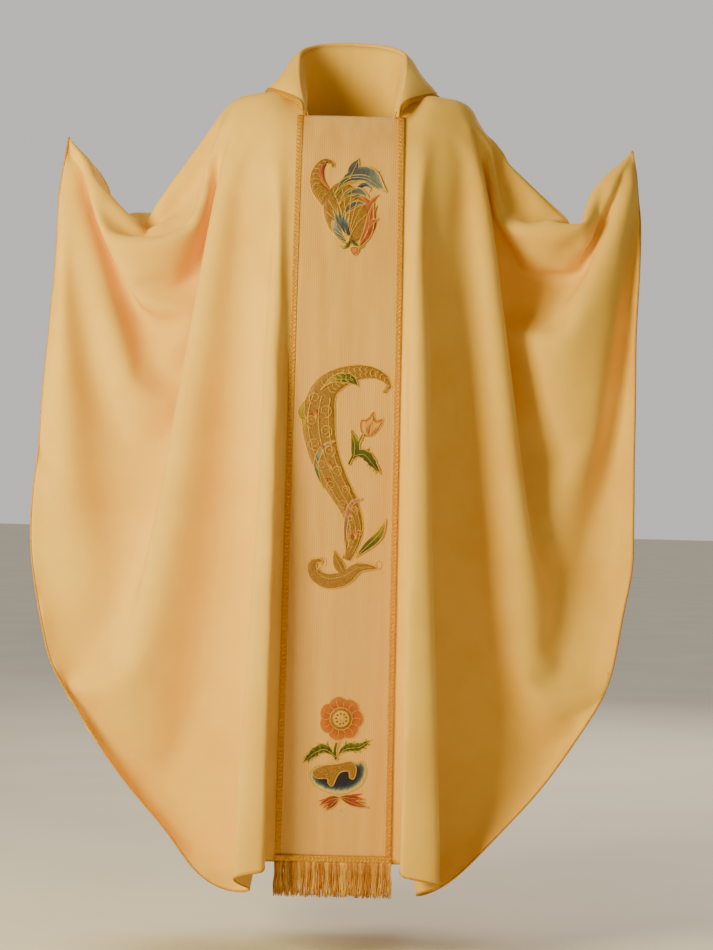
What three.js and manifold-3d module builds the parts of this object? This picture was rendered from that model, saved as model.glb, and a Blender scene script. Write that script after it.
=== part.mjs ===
// A chasuble hanging with its shoulder line level in the middle and both wing tips lifted.
// Millimetres, +Z up, the front faces -Y. The origin is the middle of the shoulder line.
import * as THREE from 'three';
import { mergeVertices } from 'three/addons/utils/BufferGeometryUtils.js';
import Module from 'manifold-3d';

const wasm = await Module();
wasm.setup();

// ---- driving dimensions ----
const CLOTH = 2.4; // thickness of the main cloth, hem allowance included
const GAP = 0.3; // clearance between layers that are sewn together
const CREST_Z = 12; // height of the shoulder line over the neck
const HEM_Z = -1236; // height of the hem under the panel
const TIP = { x: 453, z: -80 }; // wing tip
const WIDEST = { x: 505, z: -732 }; // where the side edge turns into the hem
const BODY_DEPTH = 138; // from the shoulder line to the front of the chest
const TIP_DEPTH_SHARE = 0.36; // how much of the body depth is left at the tips
const NECK_HALF = 69; // half width of the square neck opening
const NECK_FRONT_Z = -34; // height of its front edge
const NECK_BACK_Y = 62; // its back edge
const PANEL_TOP_HALF = 87; // half width of the embroidered panel at the neck
const PANEL_FOOT_HALF = 93; // and at the hem
const PANEL_FOOT_Z = -1231;
const BRAID_WIDTH = 10;
const FRINGE_LENGTH = 56;
const FRINGE_AXIS_Z = -1236;
const PIPING_RADIUS = 1.6;

// Layers of the panel, outwards from the middle of the cloth.
const INTERLINING = [CLOTH / 2 + GAP, CLOTH / 2 + GAP + 0.8];
const SATIN = [INTERLINING[1] + GAP, INTERLINING[1] + GAP + 1.0];
const TRIM = [SATIN[1] + GAP, SATIN[1] + GAP + 1.2];
const STITCH_LOW = [SATIN[1] + GAP, SATIN[1] + GAP + 1.0];
const STITCH_HIGH = [STITCH_LOW[1] + GAP, STITCH_LOW[1] + GAP + 0.8];
const STITCH_TOP = [STITCH_HIGH[1] + GAP, STITCH_HIGH[1] + GAP + 0.7];

const COLOURS = {
  cream: 0xe6c287, satin: 0xdfb886, lining: 0xcfae78, gold: 0xc8913a, thread: 0xb08a45,
  coral: 0xc8663e, blue: 0x2c3f63, green: 0x5c6b2a, red: 0xa8412c, orange: 0xcf7a2c,
  mauve: 0x8a5a6a, pearl: 0xc9b389,
};

const chasuble = new THREE.Group();

function addNode(name, geometry, colour, roughness = 0.85, parent = chasuble) {
  const material = new THREE.MeshStandardMaterial({ color: COLOURS[colour], roughness, metalness: 0 });
  const mesh = new THREE.Mesh(geometry, material);
  mesh.name = name;
  parent.add(mesh);
  return mesh;
}

// ---- small helpers ----
const mix = (a, b, t) => a + (b - a) * t;

function ease(low, high, value) {
  const t = Math.min(1, Math.max(0, (value - low) / (high - low)));
  return t * t * (3 - 2 * t);
}

// A closed geometry from vertices and faces, turned so that its faces point out.
function closedGeometry(vertices, faces) {
  let volume = 0;
  for (const [a, b, c] of faces) {
    volume += vertices[a].dot(new THREE.Vector3().crossVectors(vertices[b], vertices[c]));
  }
  const outward = volume < 0 ? faces.map(([a, b, c]) => [a, c, b]) : faces;
  const geometry = new THREE.BufferGeometry();
  geometry.setAttribute('position', new THREE.Float32BufferAttribute(
    vertices.flatMap((v) => [v.x, v.y, v.z]), 3));
  geometry.setIndex(outward.flat());
  return geometry;
}

// Unit normals of a grid of points, turned over where turn is -1. On a sewn first row they lie
// in the plane of the seam, so that the sheets on both sides of it meet edge to edge.
function gridNormals(grid, turn, sewnRow = false) {
  const lastI = grid.length - 1;
  const lastJ = grid[0].length - 1;
  return grid.map((column, i) => column.map((point, j) => {
    const across = grid[Math.min(i + 1, lastI)][j].clone().sub(grid[Math.max(i - 1, 0)][j]);
    const down = column[Math.min(j + 1, lastJ)].clone().sub(column[Math.max(j - 1, 0)]);
    const normal = across.cross(down);
    if (sewnRow && j === 0) normal.y = 0;
    return normal.normalize().multiplyScalar(turn);
  }));
}

// A closed slab between two offsets from a grid of points, measured along its normals.
function slab(grid, [inner, outer], turn, sewnRow = false) {
  const normals = gridNormals(grid, turn, sewnRow);
  const lastI = grid.length - 1;
  const lastJ = grid[0].length - 1;
  const vertices = [];
  for (const offset of [inner, outer]) {
    grid.forEach((column, i) => column.forEach((point, j) => {
      vertices.push(point.clone().addScaledVector(normals[i][j], offset));
    }));
  }
  const layer = (lastI + 1) * (lastJ + 1);
  const at = (i, j) => i * (lastJ + 1) + j;
  const faces = [];
  const quad = (a, b, c, d) => faces.push([a, b, c], [a, c, d]);
  for (let i = 0; i < lastI; i += 1) {
    for (let j = 0; j < lastJ; j += 1) {
      quad(at(i, j), at(i, j + 1), at(i + 1, j + 1), at(i + 1, j));
      quad(layer + at(i, j), layer + at(i + 1, j), layer + at(i + 1, j + 1), layer + at(i, j + 1));
    }
  }
  const rim = [];
  for (let i = 0; i < lastI; i += 1) rim.push(at(i, 0));
  for (let j = 0; j < lastJ; j += 1) rim.push(at(lastI, j));
  for (let i = lastI; i > 0; i -= 1) rim.push(at(i, lastJ));
  for (let j = lastJ; j > 0; j -= 1) rim.push(at(0, j));
  rim.forEach((a, k) => {
    const b = rim[(k + 1) % rim.length];
    quad(a, b, layer + b, layer + a);
  });
  return closedGeometry(vertices, faces);
}

// A round cord of a few sides through points, each with two directions across the cord.
function cordThrough(stations, radius, sides = 6) {
  const vertices = [];
  const faces = [];
  stations.forEach(({ point, out, up }) => {
    for (let k = 0; k < sides; k += 1) {
      const angle = (2 * Math.PI * k) / sides;
      vertices.push(point.clone()
        .addScaledVector(out, radius * Math.cos(angle))
        .addScaledVector(up, radius * Math.sin(angle)));
    }
  });
  for (let n = 0; n < stations.length - 1; n += 1) {
    for (let k = 0; k < sides; k += 1) {
      const a = n * sides + k;
      const b = n * sides + ((k + 1) % sides);
      faces.push([a, b, b + sides], [a, b + sides, a + sides]);
    }
  }
  const end = (stations.length - 1) * sides;
  for (let k = 1; k < sides - 1; k += 1) {
    faces.push([0, k + 1, k], [end, end + k, end + k + 1]);
  }
  return closedGeometry(vertices, faces);
}

// ---- solids through manifold-3d ----
function toManifold(geometry) {
  const bare = geometry.clone();
  bare.deleteAttribute('normal');
  bare.deleteAttribute('uv');
  const merged = mergeVertices(bare, 1e-4);
  return new wasm.Manifold(new wasm.Mesh({
    numProp: 3,
    vertProperties: new Float32Array(merged.attributes.position.array),
    triVerts: new Uint32Array(merged.index.array),
  }));
}

function fromManifold(solid) {
  const mesh = solid.getMesh();
  const geometry = new THREE.BufferGeometry();
  geometry.setAttribute('position', new THREE.Float32BufferAttribute(mesh.vertProperties, 3));
  geometry.setIndex(Array.from(mesh.triVerts));
  return geometry;
}

function joined(geometries) {
  return fromManifold(geometries.map(toManifold).reduce((sum, next) => sum.add(next)));
}

// ---- the side profiles: forward distance against height, for the front and for the back ----
const FLAT_HIGH = { from: [105, -105], to: [130, -275] }; // the panel is flat over the chest
const FLAT_LOW_Z = -430; // and flat and upright below this height

function profilePath() {
  const path = new THREE.Path();
  const [x1, z1] = FLAT_HIGH.from;
  const [x2, z2] = FLAT_HIGH.to;
  const slope = (x2 - x1) / (z1 - z2);
  const reach = 60;
  path.moveTo(0, CREST_Z);
  path.bezierCurveTo(50, CREST_Z, x1 - slope * reach, z1 + reach, x1, z1);
  path.lineTo(x2, z2);
  path.quadraticCurveTo(BODY_DEPTH, z2 - (BODY_DEPTH - x2) / slope, BODY_DEPTH, FLAT_LOW_Z);
  path.lineTo(BODY_DEPTH, HEM_Z - 200);
  return path.getPoints(24);
}

const PROFILE = profilePath();

// Forward distance of the sheet at a drop below its own top edge.
function reachAt(drop) {
  const z = CREST_Z - drop;
  const next = PROFILE.findIndex((p) => p.y < z);
  if (next < 1) return next === 0 ? 0 : BODY_DEPTH;
  const a = PROFILE[next - 1];
  const b = PROFILE[next];
  return mix(a.x, b.x, (a.y - z) / (a.y - b.y));
}

// ---- the hanging sheets ----
// Each sheet is flat and upright from the middle out to this half width, behind the panel.
const MIDDLE_HALF = 102;
const MIDDLE_COLUMNS = 2;
const SIDE_COLUMNS = 15;

// Shoulder line from there, over the shoulder, down into the arm fold and up to the tip.
const SHOULDER_LINE = new THREE.SplineCurve([
  [MIDDLE_HALF, CREST_Z], [150, 4], [190, -8], [216, -38], [262, -110],
  [318, -215], [344, -248], [368, -226], [408, -150], [TIP.x, TIP.z],
].map(([x, z]) => new THREE.Vector2(x, z)));

// Hem from there, down round the hanging fold and out to the side.
const HEM_LINE = new THREE.SplineCurve([
  [MIDDLE_HALF, HEM_Z], [128, -1262], [165, -1288], [200, -1279], [235, -1242],
  [300, -1176], [365, -1080], [425, -970], [480, -850], [WIDEST.x, WIDEST.z],
].map(([x, z]) => new THREE.Vector2(x, z)));

// Heights of the rows where the sheet is level across, from the shoulder line to the hem.
const ROW_HEIGHTS = [
  CREST_Z, 8, -8, NECK_FRONT_Z, -66, FLAT_HIGH.from[1], -190, FLAT_HIGH.to[1], -318, FLAT_LOW_Z,
  -545, -660, -775, -890, -1000, -1100, -1175, HEM_Z,
];
const rowShare = (z) => (CREST_Z - z) / (CREST_Z - HEM_Z);

// A pleat stands out on each side of the panel, and shallow folds run on from it to the side edge.
const PLEAT = { from: 112, width: 96, right: 106, left: 58 };
const FOLD_PITCH = 150;
const FOLD_DEPTH = 9;

// The ends of a column: at s = 0 the edge of the flat middle, at s = 1 the side edge.
function columnEnds(column) {
  if (column < MIDDLE_COLUMNS) {
    const x = (MIDDLE_HALF * column) / MIDDLE_COLUMNS;
    return { s: 0, top: new THREE.Vector2(x, CREST_Z), foot: new THREE.Vector2(x, HEM_Z) };
  }
  const s = (column - MIDDLE_COLUMNS) / SIDE_COLUMNS;
  return { s, top: SHOULDER_LINE.getPointAt(s), foot: HEM_LINE.getPointAt(s) };
}

function sheetPoint(side, face, { s, top, foot }, t) {
  const bulge = 12 * Math.sin(Math.PI * t) * s * s;
  const x = mix(top.x, foot.x, t) + bulge;
  const z = mix(top.y, foot.y, t);
  const wing = mix(1, TIP_DEPTH_SHARE, ease(150, 430, top.x));
  const depthShare = mix(wing, 0.8, 0.75 * s * ease(0.45, 1, t));
  const pleatPlace = Math.min(1, Math.max(0, (x - PLEAT.from) / PLEAT.width));
  const pleat = (side > 0 ? PLEAT.right : PLEAT.left) * Math.sin(Math.PI * pleatPlace) ** 2;
  const wave = FOLD_DEPTH * ease(210, 260, x) * Math.sin(2 * Math.PI * (x / FOLD_PITCH));
  const fold = (pleat + wave) * ease(0.1, 0.9, t);
  const y = reachAt(top.y - z) * depthShare + fold + GAP / 2;
  return new THREE.Vector3(side * Math.max(x, GAP / 2), face * y, z);
}

function sheetGrid(side, face) {
  const grid = [];
  for (let i = 0; i <= MIDDLE_COLUMNS + SIDE_COLUMNS; i += 1) {
    const ends = columnEnds(i);
    grid.push(ROW_HEIGHTS.map((z) => sheetPoint(side, face, ends, rowShare(z))));
  }
  return grid;
}

// A tool that cuts the neck opening through both sheets.
function neckCutter() {
  const corner = 8;
  const front = -reachAt(CREST_Z - NECK_FRONT_Z);
  const outline = new THREE.Shape();
  outline.moveTo(-NECK_HALF, front);
  outline.lineTo(NECK_HALF, front);
  outline.lineTo(NECK_HALF, NECK_BACK_Y - corner);
  outline.quadraticCurveTo(NECK_HALF, NECK_BACK_Y, NECK_HALF - corner, NECK_BACK_Y);
  outline.lineTo(corner - NECK_HALF, NECK_BACK_Y);
  outline.quadraticCurveTo(-NECK_HALF, NECK_BACK_Y, -NECK_HALF, NECK_BACK_Y - corner);
  const tool = new THREE.ExtrudeGeometry(outline, { depth: 200, bevelEnabled: false, curveSegments: 4 });
  tool.translate(0, 0, -100);
  return toManifold(tool);
}

const SIDES = { left: -1, right: 1 };
const FACES = { front: -1, back: 1 };
const GRIDS = {};
const neckTool = neckCutter();

for (const [faceName, face] of Object.entries(FACES)) {
  for (const [sideName, side] of Object.entries(SIDES)) {
    const grid = sheetGrid(side, face);
    const whole = slab(grid, [-CLOTH / 2, CLOTH / 2], -side * face, true);
    GRIDS[`${faceName}_${sideName}`] = grid;
    addNode(`${faceName}_${sideName}_cloth`, fromManifold(toManifold(whole).subtract(neckTool)), 'cream');
  }
}

// ---- shoulder seam tapes, inside along both shoulder lines ----
const TAPE_THICKNESS = 0.8;
const TAPE_SHARE = 0.8; // of the first row of the sheets on either side of the seam

function shoulderTape(side) {
  const front = GRIDS[side > 0 ? 'front_right' : 'front_left'];
  const back = GRIDS[side > 0 ? 'back_right' : 'back_left'];
  const grid = [];
  for (let i = MIDDLE_COLUMNS; i < front.length - 1; i += 1) {
    const middle = front[i][0].clone().add(back[i][0]).multiplyScalar(0.5);
    grid.push([
      front[i][0].clone().lerp(front[i][1], TAPE_SHARE),
      middle,
      back[i][0].clone().lerp(back[i][1], TAPE_SHARE),
    ]);
  }
  const inner = CLOTH / 2 + 2 * GAP;
  return slab(grid, [-inner - TAPE_THICKNESS, -inner], side);
}

addNode('left_shoulder_tape', shoulderTape(-1), 'lining');
addNode('right_shoulder_tape', shoulderTape(1), 'lining');

// ---- gold piping along every hem, from the middle of the hem round to the wing tip ----
function hemPiping(grid, face, side) {
  const lastI = grid.length - 1;
  const lastJ = grid[0].length - 1;
  const normals = gridNormals(grid, -side * face);
  const edge = [];
  for (let i = 0; i < lastI; i += 1) edge.push([i, lastJ, i, lastJ - 1]);
  edge.push([lastI, lastJ, lastI - 1, lastJ - 1]);
  for (let j = lastJ - 1; j > 0; j -= 1) edge.push([lastI, j, lastI - 1, j]);
  const stations = edge.map(([i, j, inI, inJ], n) => {
    const [pi, pj] = edge[Math.max(n - 1, 0)];
    const [ni, nj] = edge[Math.min(n + 1, edge.length - 1)];
    const along = grid[ni][nj].clone().sub(grid[pi][pj]).normalize();
    const up = normals[i][j].clone();
    const out = new THREE.Vector3().crossVectors(along, up).normalize();
    if (out.dot(grid[i][j].clone().sub(grid[inI][inJ])) < 0) out.negate();
    const point = grid[i][j].clone().addScaledVector(out, PIPING_RADIUS + 1.5 * GAP);
    return { point, out, up };
  });
  stations[0].point.x = side * 2 * GAP;
  return cordThrough(stations, PIPING_RADIUS);
}

for (const [faceName, face] of Object.entries(FACES)) {
  for (const [sideName, side] of Object.entries(SIDES)) {
    const grid = GRIDS[`${faceName}_${sideName}`];
    addNode(`${faceName}_${sideName}_hem_piping`, hemPiping(grid, face, side), 'gold', 0.5);
  }
}

// ---- the embroidered panel in front and the plain panel behind ----
const panelHalf = (z) => mix(
  PANEL_TOP_HALF, PANEL_FOOT_HALF, (NECK_FRONT_Z - z) / (NECK_FRONT_Z - PANEL_FOOT_Z));

// Forward distance of the flat facet between two rows of the sheets, so that layers stay parallel.
function facetReach(z) {
  const next = Math.max(1, ROW_HEIGHTS.findIndex((height) => height <= z));
  const [above, below] = [ROW_HEIGHTS[next - 1], ROW_HEIGHTS[next]];
  const share = (above - z) / (above - below);
  return mix(reachAt(CREST_Z - above), reachAt(CREST_Z - below), share) + GAP / 2;
}

// Points on the middle of the cloth between two shares of the panel's width.
function panelGrid(face, fromShare, toShare, topZ, footZ) {
  const heights = [topZ, ...ROW_HEIGHTS.filter((z) => z < topZ - 1 && z > footZ + 1), footZ];
  const at = (share, z) => new THREE.Vector3(share * panelHalf(z), face * facetReach(z), z);
  return [fromShare, toShare].map((share) => heights.map((z) => at(share, z)));
}

const BACK_NECK_Z = -22; // the back panel starts below the collar

for (const [faceName, face] of Object.entries(FACES)) {
  const top = (face < 0 ? NECK_FRONT_Z : BACK_NECK_Z) - 2;
  addNode(`${faceName}_panel_interlining`,
    slab(panelGrid(face, -0.95, 0.95, top - 4, PANEL_FOOT_Z + 4), INTERLINING, face), 'lining');
  addNode(`${faceName}_panel_satin`,
    slab(panelGrid(face, -0.98, 0.98, top, PANEL_FOOT_Z), SATIN, face), 'satin', 0.6);
  for (const [sideName, side] of Object.entries(SIDES)) {
    const outer = panelGrid(face, side, side, top, PANEL_FOOT_Z + 6)[0];
    const strip = [outer, outer.map((p) => p.clone().setX(p.x - side * BRAID_WIDTH))];
    addNode(`${faceName}_panel_braid_${sideName}`, slab(strip, TRIM, -side * face), 'gold', 0.5);
  }
}

// ---- fringes: a sewn heading, and threads that swing from it ----
const HEADING_HEIGHT = 8;
const FRINGE_THICKNESS = 3.6;

for (const [faceName, face] of Object.entries(FACES)) {
  const half = PANEL_FOOT_HALF + 1;
  const headingTop = FRINGE_AXIS_Z + 2.5 + HEADING_HEIGHT;
  const heading = new THREE.BoxGeometry(2 * half, TRIM[1] - TRIM[0] + 0.8, HEADING_HEIGHT);
  const skin = face * (BODY_DEPTH + GAP / 2);
  const headingMesh = addNode(`${faceName}_fringe_heading`, heading, 'gold', 0.5);
  headingMesh.position.set(0, skin + face * (TRIM[0] + 2.6), headingTop - HEADING_HEIGHT / 2);
  const threads = new THREE.BoxGeometry(2 * half, FRINGE_THICKNESS, FRINGE_LENGTH);
  const fringe = addNode(`${faceName}_fringe_threads`, threads, 'gold', 0.5);
  fringe.position.set(0, skin + face * 4.4, FRINGE_AXIS_Z - 0.5 - FRINGE_LENGTH / 2);
}

// ---- collar: a stand inside, an interfacing, and a fall that turns down outside ----
// Each line runs from the front end of the collar, round the side, to the middle of the back.
const collarLine = (points) => new THREE.CatmullRomCurve3(points.map((p) => new THREE.Vector3(...p)));
const SEAM_LINE = collarLine([
  [71, -84, -26], [72, -60, 4], [73, -20, 18], [72, 20, 19], [60, 52, 12], [30, 68, 4], [0, 71, 2],
]);
const ROLL_LINE = collarLine([
  [73, -89, -26], [83, -60, 16], [87, -20, 58], [84, 16, 86], [60, 50, 102], [30, 64, 108], [0, 68, 110],
]);
const FALL_LINE = collarLine([
  [75, -93, -32], [96, -68, -2], [137, -14, 15], [136, 44, 20], [104, 88, 12], [50, 108, 6], [0, 112, 4],
]);
const COLLAR_STEPS = 12;

// Points of a collar line over both halves, from one front end to the other.
function collarStations(curve) {
  const half = curve.getSpacedPoints(COLLAR_STEPS);
  const mirrored = half.map((p) => new THREE.Vector3(-p.x, p.y, p.z));
  return [...half.slice(0, -1), ...mirrored.reverse()];
}

function collarGrid(curveA, curveB, rows, shares) {
  const a = collarStations(curveA);
  const b = collarStations(curveB);
  return a.map((point, n) => {
    const column = [];
    for (let k = 0; k <= rows; k += 1) {
      column.push(point.clone().lerp(b[n], mix(shares[0], shares[1], k / rows)));
    }
    return column;
  });
}

const fallGrid = collarGrid(ROLL_LINE, FALL_LINE, 3, [0, 1]);
const standGrid = collarGrid(ROLL_LINE, SEAM_LINE, 2, [0.06, 0.96]);
addNode('collar_fall', slab(fallGrid, [1.2, 3.0], -1), 'cream');
addNode('collar_interfacing', slab(collarGrid(ROLL_LINE, FALL_LINE, 3, [0.1, 0.94]), [-0.9, -0.1], -1), 'lining');
addNode('collar_stand', slab(standGrid, [2.2, 4.0], 1), 'cream');
addNode('collar_braid', slab(collarGrid(ROLL_LINE, FALL_LINE, 1, [0.88, 1.0]), [4.2, 5.2], -1), 'gold', 0.5);

// ---- embroidery ----
// A smooth closed outline through a few points.
function rounded(points, steps = 36) {
  const curve = new THREE.CatmullRomCurve3(points.map(([x, y]) => new THREE.Vector3(x, y, 0)), true);
  const outline = curve.getPoints(steps).slice(0, -1);
  return new THREE.Shape(outline.map((p) => new THREE.Vector2(p.x, p.y)));
}

// A leaf or stem: a spine with a half width along it, toothed where teeth is given.
function ribbon(spine, halfWidth, { steps = 12, teeth = 0, toothDepth = 0.35 } = {}) {
  const curve = new THREE.SplineCurve(spine.map(([x, y]) => new THREE.Vector2(x, y)));
  const left = [];
  const right = [];
  for (let n = 0; n <= steps; n += 1) {
    const t = n / steps;
    const point = curve.getPointAt(t);
    const along = curve.getTangentAt(t);
    const bite = teeth ? 1 - toothDepth * ((t * teeth) % 1) : 1;
    const half = Math.max(halfWidth(t) * bite, 0.35);
    left.push(new THREE.Vector2(point.x - along.y * half, point.y + along.x * half));
    right.push(new THREE.Vector2(point.x + along.y * half, point.y - along.x * half));
  }
  return new THREE.Shape([...left, ...right.reverse()]);
}

const leafWidth = (half, fullest = 0.4) => (t) => (
  half * Math.sin(Math.PI * t ** (Math.log(0.5) / Math.log(fullest))));
const taper = (start, end) => (t) => mix(start, end, t);

function plate(shape, [low, high]) {
  const geometry = new THREE.ExtrudeGeometry(shape, { depth: high - low, bevelEnabled: false });
  geometry.translate(0, 0, low);
  return geometry;
}

function disc(x, y, radius, layer, sides = 12) {
  const shape = new THREE.Shape();
  for (let k = 0; k < sides; k += 1) {
    const angle = (2 * Math.PI * k) / sides;
    const corner = [x + radius * Math.cos(angle), y + radius * Math.sin(angle)];
    shape[k === 0 ? 'moveTo' : 'lineTo'](...corner);
  }
  return plate(shape, layer);
}

// A group whose own X runs across the panel, Y up along it, and Z out of it.
function motifFrame(x, z) {
  const group = new THREE.Group();
  const flatHigh = z > FLAT_HIGH.to[1];
  const slope = (FLAT_HIGH.to[0] - FLAT_HIGH.from[0]) / (FLAT_HIGH.from[1] - FLAT_HIGH.to[1]);
  group.rotation.x = Math.PI / 2 - (flatHigh ? Math.atan(slope) : 0);
  group.position.set(x, -(reachAt(CREST_Z - z) + GAP / 2), z);
  chasuble.add(group);
  return group;
}

function stitched(frame, name, colour, layer, shapes) {
  const plates = shapes.map((shape) => plate(shape, layer));
  addNode(name, plates.length > 1 ? joined(plates) : plates[0], colour, 0.55, frame);
}

// Crest: a gold shell with a curl, blue plumes, a fan, a coral leaf and a bud.
function buildCrest() {
  const frame = motifFrame(2, -183);
  stitched(frame, 'crest_shell', 'thread', STITCH_LOW, [
    rounded([[-4, -66], [-30, -44], [-42, -14], [-38, 16], [-20, 36], [2, 32], [22, 8], [32, -20], [24, -52]]),
    ribbon([[-34, 8], [-52, 26], [-56, 50], [-44, 70], [-30, 68], [-29, 60]],
      (t) => mix(16, 2.5, t ** 0.8), { steps: 16 }),
  ]);
  stitched(frame, 'crest_plume_top', 'blue', STITCH_HIGH, [
    ribbon([[-24, 18], [-4, 44], [26, 50], [46, 32], [58, 22]], leafWidth(13, 0.62), { steps: 14 }),
    ribbon([[-2, 42], [4, 58], [12, 76]], leafWidth(8, 0.45), { steps: 8 }),
  ]);
  stitched(frame, 'crest_plume_middle', 'blue', STITCH_HIGH, [
    ribbon([[-18, -2], [-6, 16], [12, 22], [30, 12]], leafWidth(6, 0.6)),
  ]);
  stitched(frame, 'crest_plume_low', 'blue', STITCH_HIGH, [
    ribbon([[-12, -22], [0, -6], [14, 2], [26, 0]], leafWidth(5.5, 0.55)),
  ]);
  stitched(frame, 'crest_fan', 'blue', STITCH_HIGH, [
    rounded([[-28, -28], [-22, -29], [-9, -34], [-2, -46], [-1, -62], [-12, -60], [-24, -50]], 28),
  ]);
  stitched(frame, 'crest_leaf', 'coral', STITCH_HIGH, [
    ribbon([[16, -70], [30, -44], [34, -14], [38, 4]], leafWidth(7, 0.4)),
    ribbon([[22, -58], [32, -34], [46, -22]], leafWidth(4, 0.5), { steps: 8 }),
  ]);
  stitched(frame, 'crest_bud', 'coral', STITCH_HIGH, [
    rounded([[4, -70], [14, -70], [16, -76], [9, -84], [2, -76]], 16),
  ]);
}

// Scroll: an S-shaped gold horn with bands, leaves, a foot and a tulip.
function buildScroll() {
  const frame = motifFrame(2, -616);
  stitched(frame, 'scroll_horn', 'thread', STITCH_LOW, [
    ribbon([[62, 132], [70, 148], [44, 164], [4, 160], [-32, 136], [-42, 92], [-34, 40], [-14, -8],
      [10, -50], [22, -92], [8, -136]],
    (t) => (t < 0.42 ? mix(3, 27, (t / 0.42) ** 1.1) : mix(27, 7, ((t - 0.42) / 0.58) ** 1.3)), { steps: 30 }),
  ]);
  stitched(frame, 'scroll_foot', 'thread', STITCH_HIGH, [
    ribbon([[-30, -140], [-42, -138], [-46, -154], [-26, -170], [4, -166], [28, -148], [56, -148]],
      (t) => mix(2, 12, Math.sin(Math.PI * t)), { steps: 20 }),
    ribbon([[6, -160], [-6, -140], [-12, -122]], leafWidth(8, 0.4), { steps: 8 }),
  ]);
  stitched(frame, 'scroll_cap_leaf', 'green', STITCH_HIGH, [
    ribbon([[-40, 134], [-20, 152], [6, 154], [20, 142]], leafWidth(8, 0.66)),
  ]);
  stitched(frame, 'scroll_side_leaf', 'green', STITCH_HIGH, [
    ribbon([[-58, 84], [-70, 96], [-64, 118]], leafWidth(5, 0.45), { steps: 8 }),
  ]);
  stitched(frame, 'scroll_blue_band', 'blue', STITCH_HIGH, [
    ribbon([[-14, 54], [-34, 42], [-44, 14], [-32, -22]], leafWidth(4, 0.4)),
  ]);
  stitched(frame, 'scroll_mauve_band', 'mauve', STITCH_HIGH, [
    ribbon([[32, -38], [14, -46], [6, -78], [6, -128]], leafWidth(3.4, 0.3)),
  ]);
  stitched(frame, 'scroll_low_leaf', 'green', STITCH_HIGH, [
    ribbon([[22, -132], [42, -112], [60, -94], [70, -70]], leafWidth(7, 0.5)),
  ]);
  stitched(frame, 'tulip_bloom', 'orange', STITCH_LOW, [
    rounded([[26, 70], [32, 62], [44, 62], [54, 72], [62, 92], [50, 88], [46, 102], [36, 90], [26, 88]], 36),
  ]);
  stitched(frame, 'tulip_leaves', 'green', STITCH_HIGH, [
    ribbon([[30, 66], [20, 44], [8, 16]], taper(2, 2), { steps: 6 }),
    ribbon([[16, 24], [18, 48], [10, 72]], leafWidth(7, 0.4), { steps: 10 }),
    ribbon([[16, 30], [32, 34], [46, 20], [60, 2]], leafWidth(9, 0.4), { steps: 15, teeth: 5 }),
  ]);
}

// Posy: a round flower with leaves over a blue bowl, a red tuft and three beads.
function buildPosy() {
  const frame = motifFrame(4, -1062);
  const lobes = 7;
  const petals = new THREE.Shape();
  for (let k = 0; k < 56; k += 1) {
    const angle = (2 * Math.PI * k) / 56;
    const radius = 31 + 4.5 * Math.abs(Math.cos((lobes * angle) / 2)) ** 0.7;
    const corner = [4 + radius * Math.cos(angle), 56 + radius * Math.sin(angle)];
    petals[k === 0 ? 'moveTo' : 'lineTo'](...corner);
  }
  stitched(frame, 'flower_petals', 'coral', STITCH_LOW, [petals]);
  addNode('flower_ring', disc(4, 56, 18, STITCH_HIGH, 20), 'thread', 0.5, frame);
  addNode('flower_heart', disc(4, 56, 12.5, STITCH_TOP, 16), 'gold', 0.5, frame);
  stitched(frame, 'flower_leaves', 'green', STITCH_LOW, [
    ribbon([[-2, 18], [-5, 4], [-2, -10]], taper(2.4, 3), { steps: 5 }),
    ribbon([[-4, -6], [-20, 8], [-36, 2], [-56, -16]], leafWidth(9, 0.5), { steps: 15, teeth: 5 }),
    ribbon([[-2, -4], [14, 10], [34, 12], [54, 24]], leafWidth(8, 0.5), { steps: 15, teeth: 5 }),
  ]);
  stitched(frame, 'posy_bowl', 'blue', STITCH_LOW, [
    rounded([[-44, -32], [-34, -20], [-8, -17], [26, -14], [40, -12], [47, -28], [38, -50], [14, -63],
      [-16, -62], [-38, -50]], 40),
  ]);
  stitched(frame, 'posy_froth', 'thread', STITCH_HIGH, [
    rounded([[-40, -30], [-26, -20], [0, -16], [22, -12], [30, -22], [26, -40], [20, -38], [18, -28],
      [4, -30], [-8, -52], [-14, -48], [-16, -40], [-32, -40]], 44),
  ]);
  const tuft = [[[4, -69], [-12, -74], [-28, -84]], [[4, -69], [-6, -80], [-18, -92]],
    [[4, -69], [26, -70], [46, -73]], [[4, -69], [28, -79], [52, -85]]];
  stitched(frame, 'posy_tuft', 'red', STITCH_LOW,
    tuft.map((spine) => ribbon(spine, leafWidth(5, 0.45), { steps: 8 })));
  [[6, -90, 2.2], [11, -99, 2.2], [17, -107, 2.2]].forEach(([x, y, radius], n) => {
    addNode(`posy_bead_${n + 1}`, disc(x, y, radius, STITCH_LOW, 8), 'pearl', 0.35, frame);
  });
}

buildCrest();
buildScroll();
buildPosy();

export default chasuble;
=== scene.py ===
"""A cream chasuble with an embroidered panel, draped, sewn and stitched over its plain solids.

Metres, +Z up, the front faces -Y. Lengths along the cloth are called v: they start at the
shoulder line, are positive down the front and negative down the back. u runs across.
"""

import math

import bpy
import numpy as np
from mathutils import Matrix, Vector
from mathutils.kdtree import KDTree


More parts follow.
